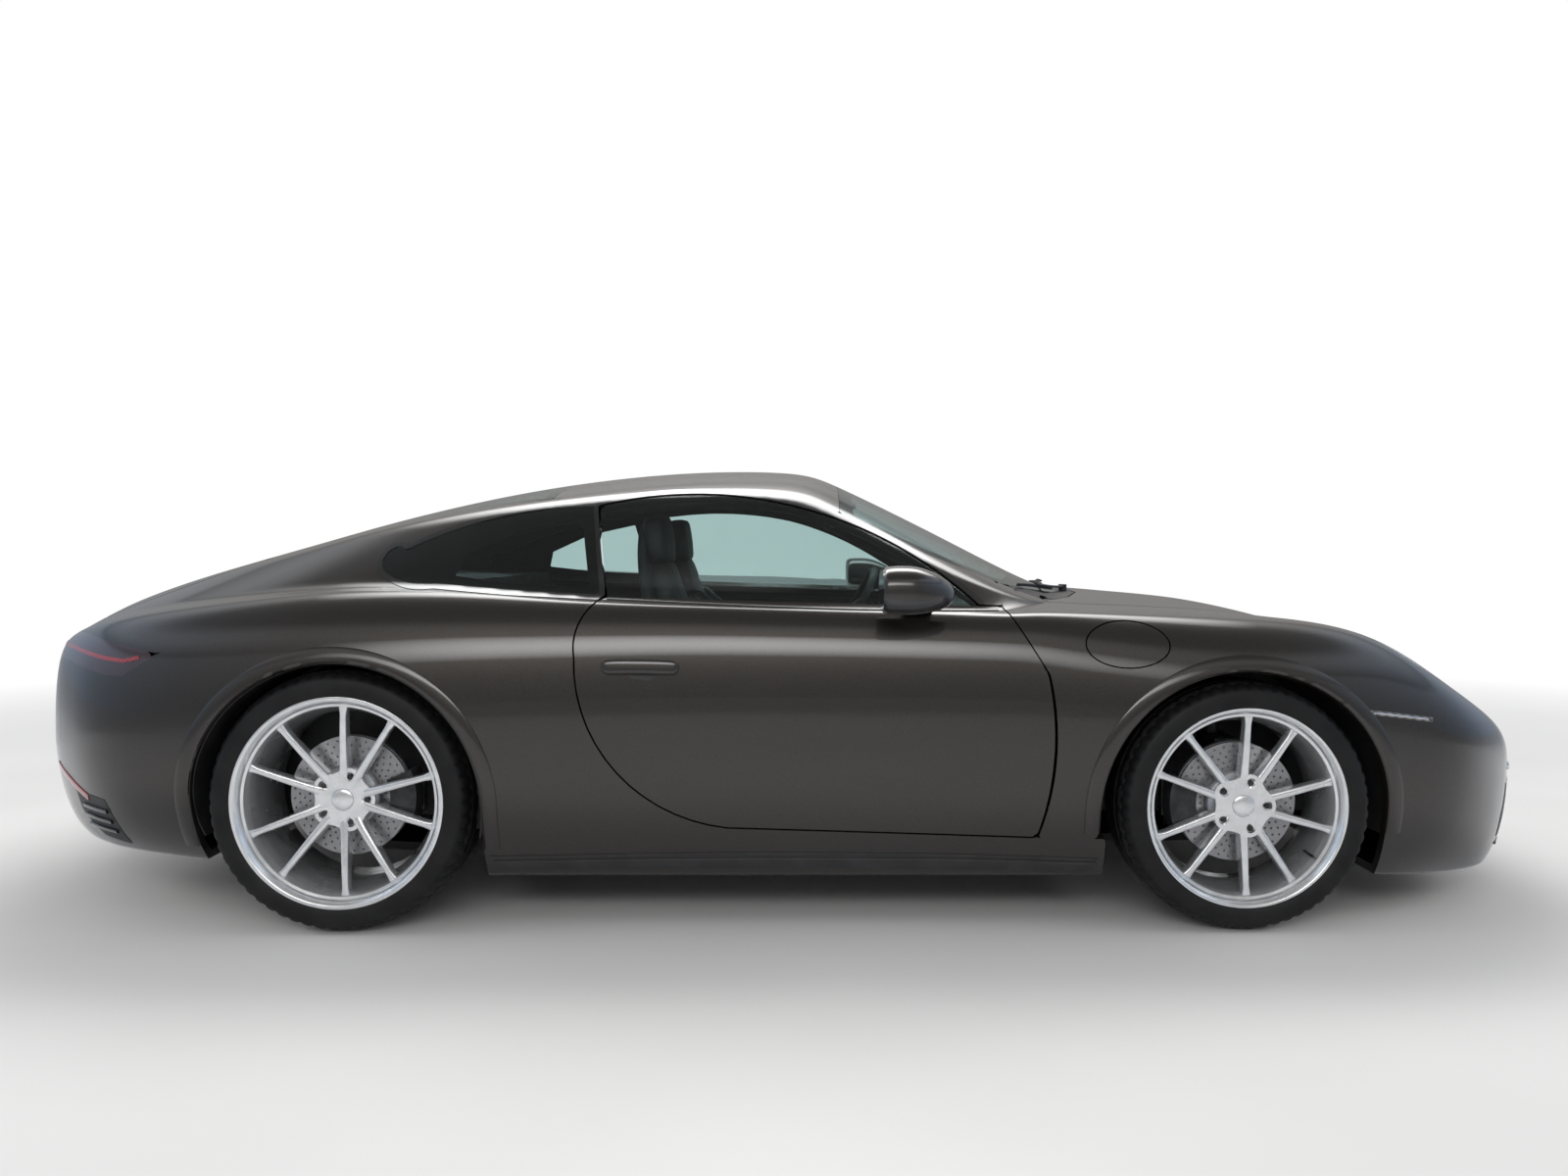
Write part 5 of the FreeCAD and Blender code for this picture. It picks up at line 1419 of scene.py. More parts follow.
@dataclass
class Wheels:
    """Tyres with cut treads, five-pair spoke rims and drilled brake discs."""

    finish: Finishes
    groove_places: tuple[float, ...] = (-0.62, -0.28, 0.28, 0.62)
    groove_half: float = 0.0045
    groove_depth: float = 0.007
    slot_depth: float = 0.0045
    slot_band: tuple[float, float] = (0.70, 0.955)
    block_band: tuple[float, float] = (0.34, 0.56)
    tyre_steps: int = 180
    fifth: float = 72.0
    spoke_spread: float = 15.5
    spoke_widths: tuple[float, float] = (0.025, 0.0175)
    spoke_depths: tuple[float, float] = (0.050, 0.034)
    bolt_circle: float = 0.065
    bolt_cup: float = 0.0135
    hole_rows: tuple[float, ...] = (0.098, 0.112, 0.126, 0.140, 0.154)
    holes_round: int = 36
    hole: float = 0.0036

    def tyre(self, size: WheelSize) -> Form:
        """A tyre: superellipse shoulders, quarter-ellipse sidewalls, four grooves and shoulder slots."""
        middle = size.rim + 0.30 * (size.tyre - size.rim)
        share = np.concatenate([np.linspace(-1, -0.90, 9)[:-1], np.linspace(-0.90, 0.90, 57),
                                np.linspace(0.90, 1, 9)[1:]])
        across = share * size.tyre_half
        crown = middle + (size.tyre - middle) * (1 - np.abs(share) ** 3.4) ** (1 / 3.4)
        bead_across, bead_radius = size.rim_half - 0.030, size.rim - 0.017
        turn = np.linspace(0, np.pi / 2, 12)[1:]
        wall_across = bead_across + (size.tyre_half - bead_across) * np.cos(turn)
        wall_radius = middle - (middle - bead_radius) * np.sin(turn)
        groove = sum(np.clip(1.6 - np.abs(across - place * size.tyre_half) / self.groove_half, 0, 1)
                     for place in self.groove_places)
        steps = self.tyre_steps
        angle = np.linspace(0, 2 * np.pi, steps, endpoint=False)[:, None]
        step, away = np.arange(steps)[:, None], np.abs(share)[None, :]
        slot = (step % 3 == 0) & (away > self.slot_band[0]) & (away < self.slot_band[1])
        block = (step % 6 == 1) & (away > self.block_band[0]) & (away < self.block_band[1])
        tread = crown - self.groove_depth * groove - np.where(slot | block, self.slot_depth, 0.0)
        fixed = np.repeat(wall_radius[None], steps, 0)
        radius = np.concatenate([fixed[:, ::-1], tread, fixed], 1)
        whole = np.concatenate([-wall_across[::-1], across, wall_across])[None]
        grid = np.stack([radius * np.cos(angle), whole + 0 * angle, radius * np.sin(angle)], -1)
        rubber = woven(grid, True, True).outward()
        bead = spun([(size.rim + 0.010, size.tyre_half - 0.0075), (size.rim + 0.013, size.tyre_half - 0.0045),
                     (size.rim + 0.016, size.tyre_half - 0.0065)], 120)
        return Form.joined([rubber, bead])

    def barrel(self, size: WheelSize) -> Form:
        """The rim's barrel with its stepped lip."""
        r, h = size.rim, size.rim_half
        return spun([(r, h - 0.020), (r, h - 0.013), (r - 0.002, h - 0.0120), (r - 0.009, h - 0.0120),
                     (r - 0.012, h - 0.0135), (r - 0.020, h - 0.024), (r - 0.023, h - 0.033),
                     (r - 0.0295, h - 0.035), (r - 0.031, h - 0.0375), (r - 0.036, h - 0.066),
                     (r - 0.050, h - 0.108), (r - 0.050, 0.060 - h), (r - 0.030, 0.034 - h),
                     (r - 0.010, 0.012 - h), (r, 0.012 - h), (r, 0.022 - h), (r - 0.018, 0.030 - h),
                     (r - 0.022, 0.070 - h), (r - 0.040, 0.092 - h), (r - 0.040, h - 0.100),
                     (r - 0.022, h - 0.070), (r - 0.018, h - 0.030)], 144)

    def spoke(self, size: WheelSize, side: int) -> Form:
        """One straight spoke of a pair, from the hub's shoulder to the barrel."""
        spread = math.radians(self.spoke_spread) * side
        reach = size.rim - 0.030
        root = np.array([0.046, 0.0, 0.013 * side])
        tip = np.array([reach * math.cos(spread), 0.0, reach * math.sin(spread)])
        t = np.linspace(0, 1, 22)
        path = root + (tip - root) * t[:, None]
        top = (size.face + 0.028) * (1 - t) ** 1.6 + (size.rim_half - 0.041) * (1 - (1 - t) ** 1.6)
        width, depth = (first * (1 - t) + last * t for first, last in (self.spoke_widths, self.spoke_depths))
        path[:, 1] = top - depth / 2
        along = unit(tip - root)
        flare = 0.010 * np.clip((t - 0.86) / 0.14, 0, 1) ** 2 + 0.012 * np.clip(1 - t / 0.25, 0, 1) ** 2
        return lofted(path, np.array([-along[2], 0.0, along[0]]), width + flare, depth, 4.5)

    def hub(self, size: WheelSize) -> tuple[Form, Form, Form]:
        """The hub plate with its bolt cups, the bolts, and the domed blank cap."""
        front = size.face + 0.030

        def keep(radius: Array, angle: Array) -> Array:
            spare = (angle + np.pi / 5) % (2 * np.pi / 5) - np.pi / 5
            away = np.hypot(radius * np.cos(spare) - self.bolt_circle, radius * np.sin(spare))
            edge = 0.082 + 0.007 * np.cos(5 * angle) - radius
            return np.minimum(away - self.bolt_cup, edge)

        plate = polar_sheet(0.030, 0.092, front, 16, 170, keep, 0.010)
        cups, bolts = [], []
        base = spun([(0.0, front - 0.010), (0.074, front - 0.010), (0.078, front - 0.020),
                     (0.086, size.face - 0.001), (0.0, size.face - 0.001)], 96)
        ring = np.array([(self.bolt_cup, 0.0), (self.bolt_cup + 0.0025, 0.0),
                         (self.bolt_cup + 0.0025, -0.012), (self.bolt_cup, -0.012)])
        for number in range(5):
            place = (self.bolt_circle, front + 0.0005, 0.0)
            cups.append(spun(ring, 32).moved(place).turned((0, 1, 0), self.fifth * number))
            hexagon = spun([(0.0, 0.004), (0.0065, 0.004), (0.0085, 0.001), (0.0085, -0.0095),
                            (0.0, -0.0095)], 6)
            seat = (self.bolt_circle, front - 0.001, 0.0)
            bolts.append(hexagon.moved(seat).turned((0, 1, 0), self.fifth * number))
        cap = spun([(0.0, 0.0052), (0.010, 0.0050), (0.020, 0.0040), (0.0265, 0.0024), (0.0285, 0.0012),
                    (0.0290, -0.0004), (0.0302, 0.0006), (0.0310, -0.001), (0.0310, -0.012),
                    (0.0, -0.012)], 72)
        return Form.joined([plate, base, *cups]), Form.joined(bolts), cap.moved((0.0, front + 0.001, 0.0))

    def disc(self, size: WheelSize) -> tuple[Form, Form]:
        """A vented disc: a drilled outer cheek, a plain inner one and vanes between; and its hat."""
        face = size.face - 0.002
        ring = face - 0.030

        def keep(radius: Array, angle: Array) -> Array:
            away = np.full(radius.shape, np.inf)
            part = 2 * np.pi / self.holes_round
            for number, row in enumerate(self.hole_rows):
                spare = (angle + number * part * 0.5 + part * 0.2) % part - part / 2
                away = np.minimum(away, np.hypot(row * spare, radius - row))
            return away - self.hole

        outer = polar_sheet(0.088, 0.165, ring, 21, 200, keep, 0.008)
        inner = spun([(0.088, ring - 0.024), (0.165, ring - 0.024), (0.165, ring - 0.032),
                      (0.088, ring - 0.032)], 120)
        core = spun([(0.094, ring - 0.008), (0.159, ring - 0.008), (0.159, ring - 0.024),
                     (0.094, ring - 0.024)], 120)
        hat = spun([(0.030, face - 0.008), (0.030, face), (0.074, face), (0.080, face - 0.003),
                    (0.0875, face - 0.012), (0.0875, ring - 0.030), (0.078, ring - 0.030),
                    (0.078, face - 0.010), (0.076, face - 0.008)], 96)
        return Form.joined([outer, inner, core]), hat

    def build(self) -> None:
        """Makes the four wheels."""
        finish = self.finish
        irons = {"front": finish.iron_front, "rear": finish.iron_rear}
        for size in WHEELS:
            tyre, barrel = self.tyre(size), self.barrel(size)
            spokes = [self.spoke(size, side).turned((0, 1, 0), self.fifth * number) for number in range(5)
                      for side in (-1, 1)]
            hub, bolts, cap = self.hub(size)
            drilled, hat = self.disc(size)
            valve = rod((size.rim - 0.050, size.rim_half - 0.085, 0.0),
                        (size.rim - 0.040, size.rim_half - 0.040, 0.0), 0.0032).turned((0, 1, 0), 36)
            for side in Side:
                word, centre = side.word, (size.axle, size.plane, size.tyre)
                ending, wheel = f"{size.name}_{word}", f"wheel_{size.name}_{word}"

                def place(form: Form, side: Side = side, centre: tuple[float, ...] = centre) -> Form:
                    return form.moved(centre).on(side)

                place(tyre).thing(f"tyre_tread_{ending}", finish.tyre, wheel, Slot.TYRE, [f"tyre_{ending}"],
                                  30.0)
                place(Form.joined([barrel, *spokes])).thing(f"rim_spokes_{ending}", finish.rim, wheel,
                                                            Slot.RIM, [f"rim_{ending}"], 40.0)
                place(hub).thing(f"rim_hub_{ending}", finish.rim, wheel, Slot.RIM)
                place(cap).thing(f"rim_cap_{ending}", finish.rim, wheel, Slot.RIM)
                place(Form.joined([bolts, valve])).thing(f"rim_bolts_{ending}", finish.gear, wheel, Slot.GEAR)
                place(drilled).thing(f"disc_ring_{ending}", irons[size.name], wheel, Slot.IRON,
                                     [f"brake_disc_{ending}"], 30.0)
                place(hat).thing(f"disc_hat_{ending}", finish.cast, wheel, Slot.IRON)


# Trim, lamps and small outside parts


def strip(points: Array, normals: Array, width: float, height: float, lift: float = 0.0,
          closed: bool = False) -> Form:
    """A soft-edged strip laid on the skin along a path: its profile stands up along the normals."""
    return swept(points, soft_box(height, width, 14, 4.0) + (lift, 0.0), normals, closed)


def bars(count: int, start: float, step: float) -> tuple[float, ...]:
    """Evenly spaced places."""
    return tuple(start + number * step for number in range(count))


@dataclass
class Seals:
    """The windows' black edging, the printed borders of the panes, the sill strips and the arch lips."""

    skin: Skin
    finish: Finishes
    work: PanelWork
    lip: tuple[tuple[float, float], ...] = ((0.043, -0.002), (0.042, 0.0025), (0.036, 0.0048),
                                            (0.012, 0.0050), (0.003, 0.0036), (-0.001, -0.003),
                                            (-0.001, -0.022), (0.006, -0.023), (0.012, -0.009))

    def edging(self) -> Form:
        """The gloss black surround of the side windows on the side frame, with the divider between them."""
        hole = Outline((-1170, 930), (560, 860), (560, 1215), (-1170, 1215))

        def keep(p: Array) -> Array:
            pane, quarter = PANE_FACE.side(p), QUARTER_FACE.side(p)
            near = np.maximum(pane + 0.020, quarter + 0.013)
            between = least(p[:, 0] + 0.575, -0.465 - p[:, 0], p[:, 2] - 0.905, 1.165 - p[:, 2])
            return least(np.maximum(near, between), -(pane + GAP), -quarter, -(DOOR_FACE.side(p) + GAP),
                         p[:, 2] - 0.90 + 0.03 * (p[:, 0] + 1.2))

        return self.skin.side_patch(hole, 0.005, 0.002, 0.0014, keep)

    def arch_lip(self, rear: bool) -> Form:
        """A raised lip round a left arch: a row for each angle, through a profile of (radius, lift)."""
        x0, z0, rad = ARCHES[rear]
        low = 0.226 if rear else 0.263
        rows = []
        turn = np.linspace(0, np.pi, 110)
        drop = np.linspace(low, z0, 9)[:-1]
        for offset, lift in self.lip:
            r = rad + offset
            x = np.concatenate([np.full(8, r), r * np.cos(turn), np.full(8, -r)]) + x0
            z = np.concatenate([drop, z0 + r * np.sin(turn), drop[::-1]])
            y, normal = self.skin.reach(x, z)
            normal = self.skin.even(normal)
            rows.append(np.stack([x, y, z], 1) + normal * lift)
        return woven(capped(np.stack(rows, 1)), False, True).outward()

    def build(self) -> None:
        """Makes the edging, borders, lips and strips."""
        finish, skin = self.finish, self.skin
        gloss, paint = finish.gloss, finish.paint
        edging = self.edging()
        belt = strip(*skin.track([(-486, 900), (-141, 884), (167, 873), (420, 869), (600, 868)], 12), 0.010,
                     0.006)
        see = Outline((-540, 934), (-578, 1128), (-760, 1088), (-905, 1024), (-925, 965), (-760, 945))
        border = skin.side_patch(QUARTER_FACE, 0.007, 0.001, -0.0056,
                                 lambda p: least(QUARTER_FACE.side(p), -see.side(p)))
        sill = strip(*skin.track([(-790, 172), (-400, 176), (4, 178), (500, 174), (858, 164)], 12), 0.034,
                     0.008)
        step = strip(*skin.track([(-800, 198), (-400, 203), (4, 206), (500, 200), (862, 188)], 12), 0.008,
                     0.006)
        for side in Side:
            word = side.word
            edging.on(side).thing(f"window_edging_{word}", gloss, "body", Slot.TRIM)
            belt.on(side).thing(f"door_belt_strip_{word}", gloss, f"door_{word}", Slot.TRIM)
            border.on(side).thing(f"quarter_border_{word}", finish.printed, "body", Slot.TRIM)
            for rear in (False, True):
                name = "rear" if rear else "front"
                self.arch_lip(rear).on(side).thing(f"arch_lip_{name}_{word}", paint, "body", Slot.PAINT,
                                                   crease=50)
            Form.joined([sill, step]).on(side).thing(f"sill_strips_{word}", finish.trim, "body", Slot.TRIM)
        inner = self.work.cut(lambda p: least(SCREEN_PLAN.upper(p, -self.work.seal), np.maximum(
            0.042 - SCREEN_PLAN.top(p), 0.955 - p[:, 2] - 0.10 * np.abs(p[:, 1]))), 0.001, True, -0.0056)
        inner.thing("windscreen_border", finish.printed, "body", Slot.TRIM)
        rear = self.work.cut(lambda p: least(REAR_GLASS_PLAN.upper(p, -self.work.seal),
                                             0.040 - REAR_GLASS_PLAN.top(p)), 0.001, True, -0.0056)
        rear.thing("rear_pane_border", finish.printed, "body", Slot.TRIM)
        lines = [swept(*self.heater(x), (0.0, 0.0, 1.0)) for x in bars(9, -1.42, 0.075)]
        Form.joined(lines).thing("rear_pane_heater", finish.trim, "body", Slot.TRIM)
        self.wipers()

    def heater(self, x: float) -> tuple[Array, Array]:
        """A fine heating line across the inside of the rear pane."""
        points, _ = self.skin.crest([(x / MM, y) for y in (-380, -200, 0, 200, 380)], 5, -0.0058)
        return points, ring_profile(0.0007, 6)

    def wipers(self) -> None:
        """Two wipers at rest along the foot of the windscreen: an arm, a blade and its rubber."""
        parts = []
        for pivot, tip in (((906, 300), (812, -330)), ((905, -190), (690, -560))):
            (x0, y0), (x1, y1) = pivot, tip
            knots = [(x0 + (x1 - x0) * t, y0 + (y1 - y0) * t) for t in np.linspace(0, 1, 9)]
            arm, up = self.skin.crest(knots[:6], 4, 0.016)
            parts.append(swept(arm, soft_box(0.006, 0.013, 10, 4.0), up))
            blade, up = self.skin.crest([(x - 4, y) for x, y in knots[2:]], 4, 0.009)
            parts.append(swept(blade, soft_box(0.010, 0.006, 10, 3.0), up))
            centre, up = self.skin.crest([pivot, (x0 - 2, y0 - 2)], 2, 0.010)
            parts.append(rod(centre[0] - up[0] * 0.014, centre[0] + up[0] * 0.012, 0.013, 24))
        Form.joined(parts).thing("wipers", self.finish.trim, "body", Slot.TRIM)


@dataclass
class Fittings:
    """Door handles, mirrors, side markers, vents, intakes, plates, reflectors and exhaust tips."""

    skin: Skin
    finish: Finishes

    def mirror(self) -> tuple[Form, Form, Form, Form]:
        """A left mirror: painted cap, black base, glass and foot. Its head is a superellipse in each plane
        across the car's length, with its half width, half height and middle given along X."""
        rows = curve_through([(-0.083, 0.090, 0.055, 0.0, 0.002), (-0.070, 0.0965, 0.0625, 0.0, 0.002),
                              (-0.035, 0.0980, 0.0650, -0.001, 0.002), (0.010, 0.0950, 0.0630, -0.003, 0.001),
                              (0.055, 0.0820, 0.0520, -0.010, -0.003),
                              (0.088, 0.0620, 0.0370, -0.020, -0.007),
                              (0.108, 0.0380, 0.0200, -0.034, -0.010),
                              (0.1155, 0.0080, 0.0050, -0.044, -0.012)], 7)
        ring = soft_box(2.0, 2.0, 44, 2.7) / 2
        x, wide, high, y, z = rows.T[:, :, None]
        grid = np.stack([x + 0 * ring[:, 0], y + wide * ring[:, 0] * 2, z + high * ring[:, 1] * 2], -1)
        place = np.array([0.345, 0.920, 0.928])
        shell = woven(capped(grid), False, True).outward().moved(place)
        middle = shell.points[shell.faces].mean(1)
        low = middle[:, 2] < 0.906 - 0.05 * (middle[:, 0] - 0.345)
        back = middle[:, 0] < 0.2635
        cap = Form(shell.points, shell.faces[~low & ~back])
        base = Form(shell.points, shell.faces[low | back])
        glass = rounded((0.0012, 0.083, 0.049), 3.2, 20).moved(place + (-0.0825, 0.0, 0.002))
        path = curve_through([(0.372, 0.752, 0.868), (0.372, 0.790, 0.872), (0.365, 0.830, 0.878),
                              (0.358, 0.880, 0.886)], 6)
        foot = swept(path, soft_box(0.026, 0.080, 20, 3.0), (0.0, 0.0, 1.0))
        return cap, base, glass, foot

    def handle(self) -> tuple[Form, Form]:
        """A pull handle: a smooth blade that stands off the door, and a dark patch below it that is painted
        shadow.
        """
        points, normals = self.skin.track([(-488, 719), (-470, 722), (-430, 723), (-360, 722), (-300, 720),
                                           (-279, 718)], 8)
        share = np.linspace(0, 1, len(points))[:, None]
        points = points + normals * (0.0105 * np.sin(np.pi * share) ** 0.5 + 0.001)
        ring = soft_box(2.0, 2.0, 24, 2.6) / 2
        high = 0.038 * (1 - np.abs(2 * share - 1) ** 5) ** 0.5 + 0.001
        up = unit(np.cross(normals, np.gradient(points, axis=0)))
        grid = (points[:, None] + ring[None, :, :1] * (0.012 * normals[:, None])
                + ring[None, :, 1:] * (high[:, None] * up[:, None]))
        blade = woven(grid, False, True).outward()
        # The dark patch behind the blade is painted shadow, not a recess in the door.
        painted_shadow = self.skin.side_patch(Outline((-420, 704), (-410, 694, -385, 690), (-350, 690, -335, 704),
                                            (-345, 742), (-410, 742)), 0.004, 0.001, 0.0008)
        return blade, painted_shadow

    def slats(self, face: Outline, places: Sequence[float], ends: Callable[[float], tuple[float, float]],
              slope: float = 0.0) -> tuple[Form, Form]:
        """A dark side panel with slats across it.

        Args:
            face: the panel's outline.
            places: the slats' heights in millimetres.
            ends: the X of a slat's ends at a height.
            slope: how much a slat climbs per length.

        Returns:
            The panel and its slats.
        """
        panel = self.skin.side_patch(face, 0.006, 0.002, 0.001)
        parts = []
        for z in places:
            x0, x1 = ends(z)
            points, normals = self.skin.track([(x0, z), ((x0 + x1) / 2, z + slope * (x1 - x0) / 2),
                                               (x1, z + slope * (x1 - x0))], 6)
            parts.append(strip(points, normals, 0.012, 0.012, 0.002))
        return panel, Form.joined(parts)

    def across(self, y0: float, y1: float, z: float, sign: float, width: float, height: float,
               lift: float = 0.0) -> Form:
        """A strip across the nose or tail at a height, between two half widths."""
        y = np.linspace(y0, y1, 22) * MM
        x, normal = self.skin.depth(y, np.full(22, z * MM), sign)
        normal = self.skin.even(normal)
        return strip(np.stack([x, y, np.full(22, z * MM)], 1), normal, width, height, lift)

    def nose(self) -> None:
        """The front intakes and the middle panel between them, all with slats, the day lamps and a sensor
        strip.
        """
        dark, fins = [], []
        outer = Outline((322, 180), (600, 196), (610, 260), (590, 352), (322, 372), (316, 280))
        for side in (1, -1):
            points = outer.points / MM * (side, 1)
            face = Outline(tuple(points[0]), *[tuple(p) for p in points[1:]])
            dark.append(self.skin.end_patch(face, 0.010, 0.003, 0.001, 1))
            fins += [self.across(side * 326, side * 596, z, 1, 0.016, 0.008, -0.0030)
                     for z in (236, 292, 348)]
        centre = Outline((-262, 222), (262, 222), (270, 280), (250, 344), (-250, 344), (-270, 280))
        dark.append(self.skin.end_patch(centre, 0.010, 0.003, 0.001, 1))
        fins += [self.across(-258, 258, z, 1, 0.012, 0.006, -0.0025) for z in (256, 284, 312)]
        fins.append(self.across(-560, 560, 168, 1, 0.010, 0.008, 0.001))
        Form.joined(dark).thing("front_intakes", self.finish.trim, "body", Slot.TRIM)
        Form.joined(fins).thing("front_intake_slats", self.finish.gloss, "body", Slot.TRIM)
        for side in Side:
            eye = self.across(side.value * 352, side.value * 560, 392, 1, 0.012, 0.008, 0.001)
            eye.thing(f"day_lamp_{side.word}", self.finish.bowl, "body", Slot.LAMP_CLEAR)
        points, normals = self.skin.crest([(2010, y) for y in (-60, -20, 20, 60)], 4, 0.0)
        strip(points, normals, 0.006, 0.003).thing("nose_sensor_strip", self.finish.trim, "body", Slot.TRIM)

    def tail(self) -> None:
        """The blank rear plate, the dark lower panel with its fins, the reflectors and the exhaust tips."""
        finish = self.finish
        plate = Outline((-258, 366), (258, 366), (258, 470), (-258, 470))
        self.skin.end_patch(plate, 0.012, 0.003, 0.0012, -1).thing("rear_plate_blank", finish.plate, "body",
                                                                    Slot.TRIM)
        low = Outline((-420, 222), (420, 222), (400, 330), (330, 352), (-330, 352), (-400, 330))
        parts = [self.skin.end_patch(low, 0.009, 0.003, 0.001, -1)]
        parts.append(self.across(-390, 390, 336, -1, 0.010, 0.010, 0.002))
        for y in (-130, -65, 0, 65, 130):
            z = np.linspace(0.232, 0.325, 8)
            x, normal = self.skin.depth(np.full(8, y * MM), z, -1)
            parts.append(strip(np.stack([x, np.full(8, y * MM), z], 1), self.skin.even(normal), 0.006, 0.022,
                               0.003))
        Form.joined(parts).thing("rear_lower_panel", finish.trim, "body", Slot.TRIM)
        pipes = []
        for y in (-0.300, -0.205, 0.205, 0.300):
            tube = spun([(0.0400, 0.0), (0.0398, 0.003), (0.0380, 0.0042), (0.0362, 0.003), (0.0360, 0.0),
                         (0.0360, -0.066), (0.0400, -0.105)], 64)
            pipes.append(tube.turned((0, 0, 1), 90).moved((-2.222, y, 0.268)))
        Form.joined(pipes).thing("exhaust_tips", finish.steel, "body", Slot.GEAR)
        for side in Side:
            points, normals = self.skin.track([(-2098, 414), (-2040, 392), (-1980, 366), (-1934, 346)], 8)
            strip(points, normals, 0.022, 0.004, 0.001).on(side).thing(f"rear_reflector_{side.word}",
                                                                       finish.red, "body", Slot.LAMP_RED)

    def build(self) -> None:
        """Makes the small outside parts."""
        finish, skin = self.finish, self.skin
        cap, base, glass, foot = self.mirror()
        blade, painted_shadow = self.handle()
        marker, up = skin.track([(1574, 600), (1640, 592), (1700, 584), (1765, 575)], 8)
        insert, lift = skin.track([(1590, 598), (1640, 592), (1700, 584), (1752, 577)], 8)
        vent = Outline((-1995, 367), (-1867, 349), (-1844, 282), (-1825, 210), (-1925, 226), (-1988, 300))
        panel, slats = self.slats(vent, (262, 292, 322), lambda z: (-1962, -1852 + (z - 262) * -0.2), -0.08)
        for side in Side:
            word = side.word
            cap.on(side).thing(f"mirror_cap_{word}", finish.paint, f"door_{word}", Slot.PAINT,
                               [f"door_mirror_{word}"])
            base.on(side).thing(f"mirror_base_{word}", finish.gloss, f"door_{word}", Slot.TRIM)
            glass.on(side).thing(f"mirror_glass_{word}", finish.chrome, f"door_{word}", Slot.GLASS)
            foot.on(side).thing(f"mirror_foot_{word}", finish.gloss, f"door_{word}", Slot.TRIM)
            blade.on(side).thing(f"door_handle_{word}", finish.paint, f"door_{word}", Slot.PAINT, crease=50)
            # Painted shadow: a dark patch on the door under the handle.
            painted_shadow.on(side).thing(f"door_handle_dish_{word}", finish.trim, f"door_{word}", Slot.TRIM)
            strip(marker, up, 0.013, 0.004, 0.001).on(side).thing(f"side_marker_{word}", finish.amber, "body",
                                                                  Slot.LAMP_RED)
            strip(insert, lift, 0.005, 0.003, 0.003).on(side).thing(f"side_marker_insert_{word}", finish.bowl,
                                                                    "body", Slot.LAMP_CLEAR)
            panel.on(side).thing(f"rear_vent_{word}", finish.trim, "body", Slot.TRIM)
            slats.on(side).thing(f"rear_vent_slats_{word}", finish.gloss, "body", Slot.TRIM)
        self.nose()
        self.tail()


@dataclass
class Lamps:
    """What shows under the headlamps' clear covers, and the tail lamp's red line."""

    skin: Skin
    finish: Finishes
    work: PanelWork

    def facing(self, form: Form, along: float, across: float, back: float) -> Form:
        """Turns a form made about +Y to look along the lamp's axis, at a place in the lamp."""
        ahead = unit(np.array([1.0, 0.18, 0.16]))
        side = unit(np.cross((0.0, 0.0, 1.0), ahead))
        matrix = np.stack([side, ahead, np.cross(side, ahead)], 1)
        long, wide, axis = lamp_axes()
        spot = LAMP_CENTRE + long * along + wide * across - axis * back
        return Form(form.points @ matrix.T + spot, form.faces).outward()

    def build(self) -> None:
        """Makes the bowls, units and lines."""
        finish = self.finish
        tray = self.work.cut(lambda p: least(lamp_oval(p, -0.002), -LID_PLAN.top(p) - GAP), 0.002, False,
                             -0.052, False)
        rim = self.work.cut(lambda p: least(lamp_oval(p, -0.001), -lamp_oval(p, -0.016),
                                            -LID_PLAN.top(p) - GAP),
                            0.001, False, -0.0052, False)
        bowl = spun([(0.050, 0.0), (0.046, -0.010), (0.034, -0.026), (0.030, -0.028), (0.030, -0.031),
                     (0.052, -0.031), (0.054, 0.0)], 64)
        eye = spun([(0.0, 0.010), (0.012, 0.0085), (0.022, 0.004), (0.028, -0.004), (0.029, -0.020),
                    (0.0, -0.020)], 48)
        ring = spun([(0.030, -0.004), (0.034, -0.001), (0.036, -0.006), (0.036, -0.022), (0.030, -0.022)], 64)
        small = spun([(0.022, 0.0), (0.018, -0.012), (0.0, -0.014), (0.0, -0.018), (0.025, -0.018),
                      (0.026, 0.0)], 48)
        parts = [self.facing(bowl, -0.030, 0.0, 0.020), self.facing(small, 0.072, -0.006, 0.016)]
        for number in range(4):
            block = rounded((0.010, 0.004, 0.0045), 4.0, 10)
            along = 0.012 + 0.030 * number - 0.045 * (number // 2)
            parts.append(self.facing(block, along, 0.052 - 0.004 * number, 0.018))
        bowls = Form.joined(parts)
        ring, eye = self.facing(ring, -0.030, 0.0, 0.022), self.facing(eye, -0.030, 0.0, 0.024)
        for side in Side:
            word = side.word
            tray.on(side).thing(f"headlamp_tray_{word}", finish.bowl, "body", Slot.TRIM)
            rim.on(side).thing(f"headlamp_edge_{word}", finish.gloss, "body", Slot.TRIM)
            bowls.on(side).thing(f"headlamp_bowls_{word}", finish.bowl, "body", Slot.LAMP_CLEAR)
            ring.on(side).thing(f"headlamp_rings_{word}", finish.chrome, "body", Slot.LAMP_CLEAR)
            eye.on(side).thing(f"headlamp_eyes_{word}", finish.lens, "body", Slot.LAMP_CLEAR)
        lines = ([-2400, -2007, -1861, -1789, -1730], [0.772, 0.7615, 0.741, 0.735, 0.748])

        def line(p: Array) -> Array:
            middle = np.interp(p[:, 0] / MM, *lines)
            return least(0.0052 - np.abs(p[:, 2] - middle), -1.742 - p[:, 0],
                         -ENGINE_LID_PLAN.top(p) - GAP - 0.004)

        fine = self.skin.side_patch(Outline((-2235, 735), (-1740, 720), (-1740, 770), (-2235, 785)), 0.0035,
                                    0.001, 0.0012, line)
        for side in Side:
            fine.on(side).thing(f"tail_lamp_line_{side.word}", finish.red, "body", Slot.LAMP_RED)


# The cabin


